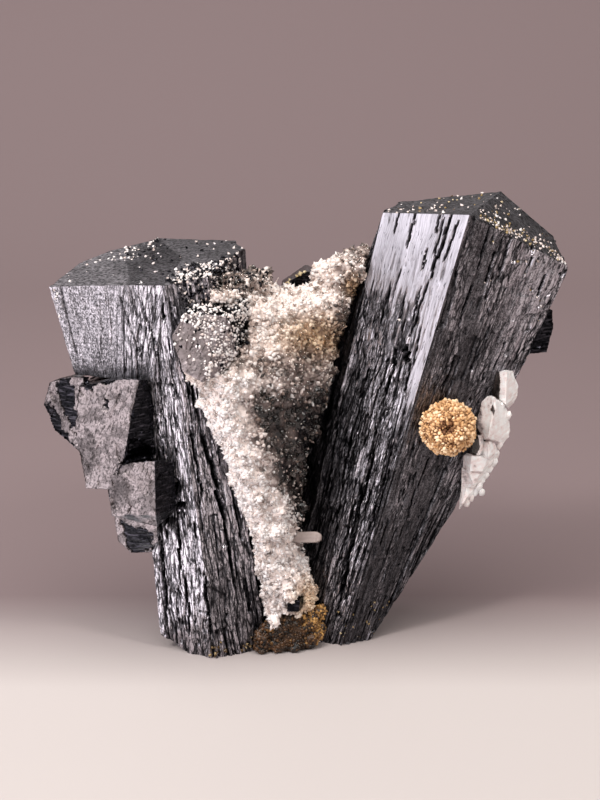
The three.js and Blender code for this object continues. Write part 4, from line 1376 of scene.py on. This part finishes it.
# The borders are (height, x) on the seen plane, from the foot up
WHITE_BORDER = [(8, 5), (12.4, 1.6), (18.4, -1), (23.4, -2.8), (27.2, -5.2), (31.2, -6.6), (33.5, -7),
                (36, -8)]
PAINTED_SHADE_BORDER = [(12, 3), (15.7, 0.2), (18.4, -0.4), (22, -1), (29, -0.8), (36.1, 0.2), (38.4, 1.8),
               (41, 4.4)]
GOLD_ZONES = [(2.6, 46.2, 4.6, 2.8), (7.2, 53.6, 1.2, 1.6), (1.2, 7.4, 2.0, 3.2)]
BLACK_ZONES = [(-8.8, 47.5, 3.4, 3.6), (-8.4, 54.6, 4.4, 2.6)]
MAUVE_ZONES = [(0.4, 41.6, 3.6, 3.0), (-4.8, 42.4, 2.2, 1.4), (-8.2, 46, 1.6, 4)]
WHITE, CREAM, SMOKY, MAUVE, BLACKISH = 1.0, 0.92, 0.08, 0.5, 0.6


def within(spots, zone, blur=0.35):
    """1 inside an oval zone (x, height, half width, half height), fading out at its rim."""
    x, height, wide, high = zone
    return ease(1 + blur, 1 - blur, np.hypot((spots[:, 0] - x) / wide, (spots[:, 1] - height) / high))


def crust_tone(points, random):
    """White left of a border seen from the front, smoky right of it, and in the upper part cream
    with mauve grey places. Right of a second border it is painted nearly black, as painted
    shade of the gap beside the right prism, and low down it is a little darker."""
    spots = as_seen(points) + 0.6 * wander(random, points, 1.6)
    x, height = spots.T
    right = ease(-0.8, 3.2, x - np.interp(height, *np.transpose(WHITE_BORDER)))
    # Painted shade: right of this border the crust is nearly black, as the shadowed gap beside the right
    # prism.
    black = ease(-0.5, 0.6, x - np.interp(height, *np.transpose(PAINTED_SHADE_BORDER)))
    upper = ease(36.5, 40.5, height)
    mauve = np.max([within(spots, zone) for zone in MAUVE_ZONES], axis=0)
    lower_tone = WHITE * (1 - right) + SMOKY * right
    tone = lower_tone * (1 - upper) + (CREAM + (MAUVE - CREAM) * mauve) * upper
    tone = tone * (1 - black * (1 - 0.6 * upper) * (height > 14))
    tone = tone * (1 - 0.12 * ease(22, 16, height))
    tone = tone * (1 - BLACKISH * within(spots, BLACK_ZONES[1]))
    tone = tone * (1 - 0.3 * within(spots, GOLD_ZONES[0], 0.6))
    return np.clip(tone + 0.08 * waves(random, points, 0.9), 0, 1)


def crust_iron(points):
    """Rusty gold in a few places, fading out widely, and a trace of it all over the upper part."""
    spots = as_seen(points)
    gold = np.max([within(spots, zone, 0.8) for zone in GOLD_ZONES], axis=0)
    return np.clip(0.85 * gold + 0.14 * ease(36, 44, spots[:, 1]), 0, 1)


set_attribute(crust.data, "tone", crust_tone(points_of(crust.data), crust_random))
set_attribute(crust.data, "iron", crust_iron(points_of(crust.data)))
crust.data.materials.append(milk)
only(crust)
bpy.ops.object.shade_smooth()
stands_for("quartz_druse", crust, "quartz")
print("crust faces:", len(crust.data.polygons))

# %% The crust's points
PAINTED_GLINT_SHARE = 0.18
LEAST_CLEARANCE = 0.45


def open_crust(points, normals):
    return (clearance(points) > LEAST_CLEARANCE) * 1.0


def leaning(random, normals, amount):
    return unit(normals + random.normal(0, amount, normals.shape))


def slot_of_grains(finish):
    return "ilvaite" if finish is small_crystal else "quartz"


def crust_copies(name, shape, finish, gap, lean, sink, radius, length, keeps):
    """Copies of a shape all over the open crust, where keeps(spots, tones, luck) says so."""
    spots, outward = spots_on(crust, crust_random, gap, open_crust)
    tones = crust_tone(spots, crust_random)
    chosen = keeps(spots, tones, crust_random.uniform(0, 1, len(spots)))
    spots, outward, tones = spots[chosen], outward[chosen], tones[chosen]
    scale = crust_random.uniform(0.6, 1.3, len(spots)) ** 1.2
    axes = leaning(crust_random, outward, lean)
    # Painted glints: a share of the grains get a brighter tone.
    painted_glint = 0.55 * (crust_random.uniform(0, 1, len(spots)) < PAINTED_GLINT_SHARE)
    piece = copies(name, shape, crust_random, spots - axes * sink, axes, radius * scale, length * scale,
                   tones + painted_glint + crust_random.normal(-0.06, 0.25, len(spots)), finish)
    set_attribute(piece.data, "iron", np.repeat(crust_iron(spots), len(shape[0])))
    stands_for("quartz_druse", piece, slot_of_grains(finish))


def near_stub(spots):
    """1 beside the buried black crystal, where black grains are mixed with the quartz."""
    return np.max([within(as_seen(spots), zone) for zone in BLACK_ZONES], axis=0)


crust_copies(
    "druse_points", quartz_point, sugar, gap=0.36, lean=0.7, sink=0.25, radius=0.23, length=0.7,
    keeps=lambda spots, tones, luck: luck < tones ** 1.4 * (0.9 - 0.2 * near_stub(spots)))
crust_copies(
    "druse_glassy_points", quartz_point, glassy, gap=0.36, lean=0.8, sink=0.25, radius=0.25, length=0.75,
    keeps=lambda spots, tones, luck: (luck > tones * 0.8 + 0.1) & ((tones > 0.1) | (luck > 0.9)))
crust_copies(
    "druse_grit", quartz_stub, sugar, gap=0.32, lean=0.9, sink=0.1, radius=0.15, length=0.34,
    keeps=lambda spots, tones, luck: luck < 0.03 + 0.4 * tones)
crust_copies(
    "druse_black_grains", quartz_stub, small_crystal, gap=0.5, lean=0.9, sink=0.1, radius=0.28,
    length=0.55, keeps=lambda spots, tones, luck: luck < 0.004 + 0.3 * near_stub(spots))

# %% [markdown]
# ## The stained foot
# Where the crust ends at the foot, iron oxide has soaked into it: the same small quartz
# crystals, golden to dark brown. It is made as the crust was, from a copy of its solid with
# blunt grains on it.

# %% Stained foot
ABOVE_FLOOR = 0.15
stain_random = np.random.default_rng(505)
stained = milky_quartz("quartz_iron_stained", ("#0a0502", "#583716", "#cf9f5c"), grain=0.35,
                       bump_depth=0.1, gloss=(0.25, 0.6))
base = remeshed("stained_base", "stained_foot", 0.3, smoothing=3)
base_points, base_normals = points_of(base.data), at_vertices(base.data, "normal")
lumps = 0.1 + swell(stain_random, base_points, (0.16, 1.2), (0.1, 0.6))
moved = base_points + base_normals * lumps[:, None]
moved[:, 2] = np.maximum(moved[:, 2], ABOVE_FLOOR)
move_to(base.data, moved)
set_attribute(base.data, "tone", 0.2 + 0.15 * waves(stain_random, moved, 1.0))
base.data.materials.append(stained)
only(base)
bpy.ops.object.shade_smooth()

spots, outward = spots_on(base, stain_random, 0.32, lambda points, normals: (points[:, 2] > 0.5) * 1.0)
scale = stain_random.uniform(0.5, 1.2, len(spots))
to_right = ease(-1, 2.5, spots[:, 0] + 0.5 * spots[:, 2] - 2)
axes = leaning(stain_random, outward, 0.8)
base_grains = copies(
    "stained_grains", quartz_stub, stain_random, spots - axes * 0.15, axes, 0.25 * scale, 0.55 * scale,
    stain_random.normal(0.24, 0.16, len(spots)) + 0.5 * to_right, stained)
for piece in (base, base_grains):
    stands_for("stained_base", piece, "stained_quartz")

# %% [markdown]
# ## The brown ball
# A ball of fine brown crystals, rough as a crumb, with a dark pit in the middle of its front.
# A sphere is pressed in for the pit and swollen by soft waves. Some two thousand lumpy
# grains on it give the crumbly outline and the dark gaps. The pit and the hollows between
# the folds are painted darker as shade, and the grains that stand out are painted lighter.

# %% Brown ball
BALL_CENTRE = np.array([20.3, -8.0, 32.6])
BALL_CORE = 3.45
PIT_AXIS = unit(np.array([-0.05, -0.96, 0.28]))
PIT_DEPTH = 1.2
ball_random = np.random.default_rng(606)
nothing_selected()
bpy.ops.mesh.primitive_ico_sphere_add(subdivisions=5, radius=BALL_CORE * MM, location=place(*BALL_CENTRE))
ball = bpy.context.object
ball.name = "ball_core"
bpy.ops.object.transform_apply(location=True, rotation=True, scale=True)
ball_points = points_of(ball.data)
ball_out = unit(ball_points - BALL_CENTRE)
pit = ease(0.93, 0.995, ball_out @ PIT_AXIS)
folds = waves(ball_random, ball_points, 0.7)
lumps = 0.15 * folds + swell(ball_random, ball_points, (0.1, 0.45)) - PIT_DEPTH * pit
move_to(ball.data, ball_points + ball_out * lumps[:, None])
bpy.ops.object.shade_smooth()
crumb = milky_quartz("brown_crystal_crumb", ("#6e4426", "#dcac78", "#ffe4c0"), grain=0.3,
                     bump_depth=0.08, gloss=(0.5, 0.85))
# Painted shade: the core is darker in the pit and in the hollows of the folds.
set_attribute(ball.data, "tone", 0.04 + 0.1 * folds - 0.2 * pit)
ball.data.materials.append(crumb)

nothing_selected()
bpy.ops.mesh.primitive_ico_sphere_add(subdivisions=1, radius=1)
crumb_shape = bpy.context.object
bpy.ops.object.mode_set(mode="EDIT")
bpy.ops.transform.vertex_random(offset=0.25, seed=7)
bpy.ops.object.mode_set(mode="OBJECT")
ball_crumb = shape_arrays(crumb_shape)
spots, outward = spots_on(ball, ball_random, 0.27, lambda points, normals: np.ones(len(points)))
from_centre = np.linalg.norm(spots - BALL_CENTRE, axis=1)
pit_shade = ease(BALL_CORE - 0.2, BALL_CORE - 1.2, from_centre)
raised_highlight = np.clip((from_centre - BALL_CORE) / 0.4, -1, 1)
scale = ball_random.uniform(0.5, 1.5, len(spots))
axes = leaning(ball_random, outward, 0.5)
# Painted shade and highlight: grains in the pit are darker, grains that stand out lighter.
tones = ball_random.normal(0.52, 0.2, len(spots)) + 0.3 * raised_highlight - 0.3 * pit_shade
ball_grains = copies(
    "ball_grains", ball_crumb, ball_random, spots + outward * (0.12 * scale)[:, None], axes,
    0.19 * scale, 0.3 * scale, tones, crumb)
for piece in (ball, ball_grains):
    stands_for("brown_ball", piece, "brown_ball")

# %% [markdown]
# ## The clear crystals
# On the right edge stands a group of clear quartz crystals, grown together. Each is convex:
# its outline is read off the front view, a ridge runs down its front, and the hull round
# those corners is its body. A union makes them one, so that light isn't bent at walls that
# aren't there. Then the skin is cut finer and gets faint waves, and small points stand along
# the right side. White veils fill most of the quartz, and a few places are clear as glass.
# One face beside a ridge is painted grey, as the shaded side of that ridge.

# %% Clear cluster
EYE = np.array([0, -VIEW_DISTANCE * math.cos(VIEW_DOWN), VIEW_HEIGHT + VIEW_DISTANCE * math.sin(VIEW_DOWN)])
# Corners are (x, height) on the seen plane
TOP_RIM = [(26.4, 41.2), (27.5, 41.6), (28.7, 41.4), (29.5, 39.3), (29.4, 37.8), (29.0, 36.9),
           (28.3, 36.0), (27.6, 36.4), (25.8, 38.4), (26.0, 39.8)]
SECOND_RIM = [(24.6, 37.0), (25.3, 37.8), (26.5, 38.0), (27.6, 36.6), (28.2, 35.7), (28.6, 33.0),
              (28.5, 32.0), (27.7, 31.0), (24.9, 31.5), (24.1, 33.2), (24.1, 34.7)]
BLOCK_RIM = [(23.4, 32.2), (24.9, 32.4), (25.2, 30.3), (24.7, 28.9), (23.0, 29.2), (22.9, 30.8)]
BRIGHT_RIM = [(25.0, 31.3), (25.9, 31.7), (26.7, 31.0), (27.1, 29.6), (26.3, 28.3), (24.8, 28.6),
              (24.7, 30.3)]
LOWER_RIM = [(22.3, 29.3), (23.1, 30.0), (24.8, 29.8), (26.7, 29.4), (26.9, 28.3), (25.6, 26.4),
             (22.2, 26.3)]
STEP_RIM = [(22.1, 27.6), (25.9, 27.2), (25.5, 25.9), (24.4, 24.3), (22.1, 24.1)]
TIP_RIM = [(22.1, 25.0), (24.4, 24.9), (24.1, 23.8), (23.2, 22.7), (21.8, 21.3), (21.9, 22.6)]
# Each crystal has its rim, the ridge down its front, its depth, and how far the ridge stands out
CRYSTALS = [
    (TOP_RIM, [(27.9, 41.2), (27.7, 39.8), (27.7, 38.3), (27.9, 36.6)], -1.7, 2.2),
    (SECOND_RIM, [(26.4, 37.6), (26.6, 36.2), (25.9, 33.5), (25.6, 31.9)], -2.5, 2.7),
    (BLOCK_RIM, [(23.6, 31.6), (24.6, 31.5), (24.4, 29.6), (23.4, 29.7)], -3.1, 1.5),
    (BRIGHT_RIM, [(25.7, 31.0), (26.0, 29.4), (25.6, 28.9)], -2.9, 2.0),
    (LOWER_RIM, [(23.4, 29.3), (25.6, 28.8), (25, 27), (23.2, 27)], -2.3, 2.0),
    (STEP_RIM, [(23, 27), (24.6, 26.6), (23.8, 25)], -2.3, 1.8),
    (TIP_RIM, [(22.8, 24.6), (23.2, 23.6), (22.2, 22)], -2.2, 1.4),
]
CLUSTER_LEFT = [(21.3, 21.8), (35, 24.2)]
BACK_SHARE = 0.6
CLUSTER_CUTS = 11
BACK_DEPTH = 1.2
CLEAR_WINDOWS = [
    [(26.4, 41.0), (27.6, 41.4), (27.7, 39.8), (27.6, 37.3), (27.2, 37.3), (25.9, 38.6), (26.1, 39.8)],
    [(23.5, 32.0), (24.7, 32.2), (25.0, 30.3), (24.5, 29.2), (23.1, 29.5), (23.0, 30.8)],
    [(26.6, 36.6), (26.9, 35.7), (26.7, 35.0), (26.3, 35.9)],
]
PAINTED_SHADE_FACE = [[(24.6, 37.0), (25.3, 37.8), (26.4, 37.8), (26.4, 36.4), (25.8, 33.5), (25.0, 32.0),
              (24.1, 33.2), (24.1, 34.7)]]
TEETH = [(28.2, 35.0), (28.1, 32.6), (27.2, 30.8), (26.8, 29.6), (26.5, 28.4), (26.0, 27.4), (25.5, 26.5),
         (25.0, 25.6), (24.5, 24.8), (24.1, 24.0), (23.6, 23.2), (23.0, 22.4)]
FRONT_TEETH = 16
FRONT_TEETH_LOW, FRONT_TEETH_HIGH = 24, 37
EDGE_DEPTH, FRONT_DEPTH = -2.6, -3.2
TOOTH_AXIS = np.array([0.35, -0.25, 0.85])
TOOTH_WIDTH, TOOTH_SINK = 0.34, 0.5
FRONT_TEETH_X, FRONT_TEETH_SLANT, FRONT_TEETH_SPREAD = 22.9, 0.22, 2.2
cluster_random = np.random.default_rng(707)


def at_depth(spots, y):
    """The places at depth y that are seen from the camera at these spots of the seen plane."""
    spots = np.array(spots, float)
    flat = np.column_stack([spots[:, 0], np.full(len(spots), SEEN_PLANE), spots[:, 1]])
    return EYE + (flat - EYE) * (y - EYE[1]) / (SEEN_PLANE - EYE[1])


def clear_hull(rim, ridge, middle, forward):
    """One crystal: its rim at depth middle, the ridge forward of it, and a smaller back."""
    rim = np.array(rim)
    back = rim.mean(axis=0) + BACK_SHARE * (rim - rim.mean(axis=0))
    sheets = [at_depth(rim, middle), at_depth(ridge, middle - forward), at_depth(back, middle + BACK_DEPTH)]
    corners = np.concatenate(sheets)
    nothing_selected()
    bpy.ops.mesh.primitive_circle_add(vertices=len(corners), radius=MM)
    crystal = bpy.context.object
    crystal.data.vertices.foreach_set("co", places(corners).astype(np.float32).ravel())
    bpy.ops.object.mode_set(mode="EDIT")
    bpy.ops.mesh.select_all(action="SELECT")
    bpy.ops.mesh.convex_hull()
    bpy.ops.mesh.normals_make_consistent(inside=False)
    bpy.ops.object.mode_set(mode="OBJECT")
    return crystal


hulls = [clear_hull(*crystal) for crystal in CRYSTALS]
nothing_selected()
for hull in hulls:
    hull.select_set(True)
cluster = hulls[0]
bpy.context.view_layer.objects.active = cluster
bpy.ops.object.join()
cluster.name = "clear_cluster"
bpy.ops.object.mode_set(mode="EDIT")
bpy.ops.mesh.select_all(action="SELECT")
bpy.ops.mesh.intersect_boolean(operation="UNION", use_self=True, solver="EXACT")
bpy.ops.mesh.select_all(action="SELECT")
bpy.ops.mesh.remove_doubles(threshold=0.01 * MM)
bpy.ops.mesh.quads_convert_to_tris()
bpy.ops.mesh.subdivide(number_cuts=CLUSTER_CUTS)
bpy.ops.object.mode_set(mode="OBJECT")
cluster_points, cluster_normals = points_of(cluster.data), at_vertices(cluster.data, "normal")
pressed = 0.04 * np.abs(waves(cluster_random, cluster_points, 0.9))
move_to(cluster.data, cluster_points - cluster_normals * pressed[:, None])
seen = as_seen(points_of(cluster.data))
# The grey face is painted darker, as the shaded side of its ridge.
veil = 0.9 - 0.3 * inside_any(seen, PAINTED_SHADE_FACE) - 0.55 * inside_any(seen, CLEAR_WINDOWS)
from_left = seen[:, 0] - np.interp(seen[:, 1], *np.transpose(CLUSTER_LEFT))
veil = veil - 0.32 * ease(1.9, 0.3, from_left) * (seen[:, 1] < 37)
veil = veil + 0.14 * waves(cluster_random, cluster_points, 0.7)
across = cluster_points[:, 2] - 0.45 * cluster_points[:, 0]
veil = veil + 0.3 * (lath_layer(cluster_random, across, cluster_points[:, 0], 0.3, 2.5) - 0.6)
set_attribute(cluster.data, "tone", veil)
veiled = milky_quartz("quartz_veiled", ("#6a5c5c", "#f2e4e2", "#ffffff"), grain=0.35,
                      bump_depth=0.07, fleck=(1.1, 1.1, 0.3))
window = milky_quartz("quartz_clear_window", ("#241f1d", "#6e625e", "#cfc3bf"), grain=0.5,
                      clear_share=0.7, gloss=(0.02, 0.1))
cluster.data.materials.append(veiled)
cluster.data.materials.append(window)
centres = np.array([polygon.center for polygon in cluster.data.polygons])
glassy_faces = inside_any(as_seen(drawn(centres)), CLEAR_WINDOWS)
cluster.data.polygons.foreach_set("material_index", glassy_faces.astype(np.int32))
only(cluster)
bpy.ops.object.shade_smooth_by_angle(angle=math.radians(20))

# %% Points of the cluster
quartz_prism = shape_arrays(small_point("quartz_prism", 6, 0.62))
edge_feet = at_depth(TEETH, EDGE_DEPTH)
# No tooth uses these draws: they only move the random stream on for the draws after them
cluster_random.uniform(size=FRONT_TEETH)
front_height = cluster_random.uniform(FRONT_TEETH_LOW, FRONT_TEETH_HIGH, FRONT_TEETH)
front_x = FRONT_TEETH_X + (front_height - FRONT_TEETH_LOW) * FRONT_TEETH_SLANT
front_x = front_x + cluster_random.uniform(0, FRONT_TEETH_SPREAD, FRONT_TEETH)
front_feet = at_depth(np.column_stack([front_x, front_height]), FRONT_DEPTH)
teeth_feet = np.concatenate([edge_feet, front_feet])
lean = cluster_random.normal(0, 0.16, (len(teeth_feet), 3))
teeth_axes = unit(TOOTH_AXIS + lean)
teeth_length = np.concatenate([cluster_random.uniform(1.0, 1.7, len(TEETH)),
                               cluster_random.uniform(0.8, 1.6, FRONT_TEETH)])
teeth_tones = cluster_random.normal(0.95, 0.15, len(teeth_feet))
teeth = copies("cluster_points", quartz_prism, cluster_random, teeth_feet - teeth_axes * TOOTH_SINK,
               teeth_axes, TOOTH_WIDTH * teeth_length, teeth_length, teeth_tones, veiled)
for piece in (cluster, teeth):
    stands_for("quartz_cluster", piece, "quartz")
print("cluster faces after the union:", len(cluster.data.polygons))

# %% [markdown]
# A short clear crystal sticks out of the crust. It has fine ridges along it and a rounded end.
# It is a twelve-sided cylinder whose end is pulled out in three steps, each narrower.

# %% Clear needle
NEEDLE_FOOT = Vector((-2.6, -6.4, 15.8))
NEEDLE_TIP = Vector((3, -7.6, 16.4))
NEEDLE_SIDES, NEEDLE_RADIUS, NEEDLE_BEVEL = 12, 0.93, 0.05
NEEDLE_FLATTER = 0.92
RIDGE_DEPTH = 0.14
NEEDLE_ROUNDING = [(0.35, 0.9), (0.3, 0.78), (0.2, 0.6)]
needle_axis = NEEDLE_TIP - NEEDLE_FOOT
shaft = needle_axis.length - sum(step for step, _ in NEEDLE_ROUNDING)
nothing_selected()
bpy.ops.mesh.primitive_cylinder_add(vertices=NEEDLE_SIDES, radius=NEEDLE_RADIUS, depth=shaft,
                                    location=(0, 0, shaft / 2))
needle = bpy.context.object
needle.name = "clear_needle_crystal"
bpy.ops.object.transform_apply(location=True, rotation=True, scale=True)
for vertex in needle.data.vertices:
    ridge = 1 - RIDGE_DEPTH * (vertex.index // 2 % 2)
    vertex.co.x *= ridge
    vertex.co.y *= ridge * NEEDLE_FLATTER
select_where(needle.data, lambda spot: spot.z > shaft / 2)
bpy.ops.object.mode_set(mode="EDIT")
for step, narrower in NEEDLE_ROUNDING:
    bpy.ops.mesh.extrude_region_move(TRANSFORM_OT_translate={"value": (0, 0, step)})
    bpy.ops.transform.resize(value=(narrower, narrower, 1))
bpy.ops.object.mode_set(mode="OBJECT")
needle.scale = (MM, MM, MM)
needle.rotation_mode = "QUATERNION"
needle.rotation_quaternion = needle_axis.to_track_quat("Z", "Y")
needle.location = place(*NEEDLE_FOOT)
bpy.ops.object.transform_apply(location=True, rotation=True, scale=True)
applied(needle, "BEVEL", width=NEEDLE_BEVEL * MM, segments=2, limit_method="ANGLE",
        angle_limit=math.radians(20))
needle_quartz = milky_quartz("quartz_needle", ("#a89690", "#d2c2bd", "#f4e8e4"), grain=0.5,
                             clear_share=0.5)
set_attribute(needle.data, "tone", np.full(len(needle.data.vertices), 0.5))
needle.data.materials.append(needle_quartz)
stands_for("clear_needle", needle, "quartz")
print("needle faces:", len(needle.data.polygons))

# %% [markdown]
# ## Dust of small crystals
# Grains of quartz lie on the prisms' ends, thick next to the crust and sparse away from it.
# The left top and the buried crystal's shoulder carry black and white ones, the right-hand
# roof white and golden ones, and a few golden ones stick near the foot and on the rear crystal.

# %% Sprinkled grains
dust_random = np.random.default_rng(808)
BOX_MARGIN = 0.5
DUST_CEILING = (cad_high[2] - DRAWING_ZERO.z) / MM - BOX_MARGIN
DUST_FRONT = (cad_low[1] - DRAWING_ZERO.y) / MM + BOX_MARGIN
golden = milky_quartz("quartz_golden_grain", ("#5c4526", "#b39868", "#f6e4bc"), grain=0.3,
                      clear_share=0.3)


def sprinkle(name, carrier, gap, keeps, size, finish, tone, replaced, bare):
    """Grains where keeps says so, in loose clumps. With bare 0, half of the places stay bare."""
    spots, outward = spots_on(carrier, dust_random, gap, keeps)
    clump = waves(dust_random, spots, 1.1) + waves(dust_random, spots, 0.5)
    kept = (clump + dust_random.normal(0, 0.8, len(spots)) > bare) & (spots[:, 2] < DUST_CEILING)
    kept &= spots[:, 1] > DUST_FRONT
    spots, outward = spots[kept], outward[kept]
    scale = dust_random.uniform(0.4, 1.25, len(spots)) ** 1.3
    axes = leaning(dust_random, outward, 0.9)
    piece = copies(name, quartz_stub, dust_random, spots - axes * size * 0.25, axes, size * 0.42 * scale,
                   size * scale, dust_random.normal(tone, 0.22, len(spots)), finish)
    stands_for(replaced, piece, slot_of_grains(finish))


def left_top(points, normals):
    """Dense towards the crust at the right, sparse on the rest and along the left rim."""
    x, y, z = points.T
    edge = -5 + 0.3 * (x + 12)
    dense = ease(-18, -14, x) * ease(edge + 2, edge - 2, y)
    rim = ease(-30, -32, x) + ease(1.5, 2.5, y) * (x < -20)
    return (normals[:, 2] > 0.7) * (z > 40) * np.clip(dense + 0.03 * rim + 0.002, 0, 1)


def left_corner(points, normals):
    """Down the block's outer front corner."""
    x, y, z = points.T
    return (x < -32.3) * (y < -7) * (z < 52.6) * ease(45, 51, z) * 0.4


def column_shoulder(points, normals):
    """The column's right side just under its top."""
    x, y, z = points.T
    side = (normals[:, 1] < 0.3) * (normals[:, 0] > -0.2) * (normals[:, 2] < 0.7)
    return side * (z > 45) * (x > -16) * ease(48, 54, z) * ease(2, -2, y)


ROOF_CORNER = (22.5, -9.2)
ROOF_EDGE = (14.9, 11.2)
ROOF_EDGE_LENGTH = 18.6


def right_roof(points, normals):
    """Dense in a band along the edge that runs from the front corner to the right."""
    x, y, z = points.T
    aside, onward = x - ROOF_CORNER[0], y - ROOF_CORNER[1]
    from_edge = (onward * ROOF_EDGE[0] - aside * ROOF_EDGE[1]) / ROOF_EDGE_LENGTH
    band = ease(4.2, 1.2, from_edge) * (x > ROOF_CORNER[0])
    return (normals[:, 2] > 0.5) * (z > 45) * (0.012 + 0.02 * (y < 0) + 0.36 * band)


def right_foot(points, normals):
    x, y, z = points.T
    return (y < -1) * (z < 6) * (z > 0.4) * 0.025


def left_foot(points, normals):
    x, y, z = points.T
    return (y < -5) * (z > 0.4) * (x > -12.5) * ease(2.6, 0.6, z) * 0.3


STUB_FACE = [(-17.5, 47), (-16.4, 48.6), (-12.8, 46.8), (-12, 44), (-13.2, 40.6), (-14.4, 38.4),
             (-16.8, 42)]


def stub_shoulder(points, normals):
    """All round the buried crystal but for its smooth face."""
    return (1 - 0.97 * inside(as_seen(points), STUB_FACE)) * (normals[:, 1] < 0.4)


def rear_ridge(points, normals):
    x, y, z = points.T
    return (normals[:, 2] > 0.4) * (y < 4) * (z > 48) * 0.5


# Name, carrier, gap, places, size, finish, tone, the node it belongs to, and how much stays bare
GRAINS = [
    ("dust_left_top", left_column, 0.3, left_top, 0.44, sugar, 0.75, "left_crystal", -0.6),
    ("black_left_top", left_column, 0.3, left_top, 0.55, small_crystal, 0.5, "left_crystal", 0.0),
    ("dust_left_rim", left_block, 0.36, left_top, 0.42, sugar, 0.8, "left_crystal", 0.0),
    ("dust_left_corner", left_block, 0.34, left_corner, 0.4, sugar, 0.9, "left_crystal", -0.5),
    ("dust_shoulder", left_column, 0.36, column_shoulder, 0.4, sugar, 0.6, "left_crystal", 0.0),
    ("dust_right_roof", right_prism, 0.36, right_roof, 0.42, sugar, 0.55, "right_crystal", 0.0),
    ("gold_right_roof", right_prism, 0.5, right_roof, 0.42, golden, 0.5, "right_crystal", 0.0),
    ("gold_right_foot", right_prism, 0.4, right_foot, 0.36, golden, 0.4, "right_crystal", 0.0),
    ("gold_left_foot", left_column, 0.34, left_foot, 0.5, golden, 0.1, "left_crystal", 0.4),
    ("gold_rear_ridge", rear, 0.5, rear_ridge, 0.6, golden, 0.7, "rear_crystal", 0.0),
    ("dust_stub", middle, 0.3, stub_shoulder, 0.5, sugar, 0.85, "middle_crystal", -1.6),
    ("black_stub", middle, 0.55, stub_shoulder, 0.5, small_crystal, 0.5, "middle_crystal", 0.0),
    ("black_shoulder", left_column, 0.34, column_shoulder, 0.55, small_crystal, 0.5, "left_crystal", -0.5),
]
for grains in GRAINS:
    sprinkle(*grains)

# %% [markdown]
# ## The pieces on their body
# Every piece rides on the one body, and is listed under the slot it is made of. The box of
# the measured solids is printed in mm.

# %% Rides, slots and sizes
for slot, pieces in pieces_of.items():
    for piece in pieces:
        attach(piece, "root")
        print(slot, piece.name, len(piece.data.polygons))

print("CAD box in mm:", [round(v / MM, 2) for v in cad_low], [round(v / MM, 2) for v in cad_high])
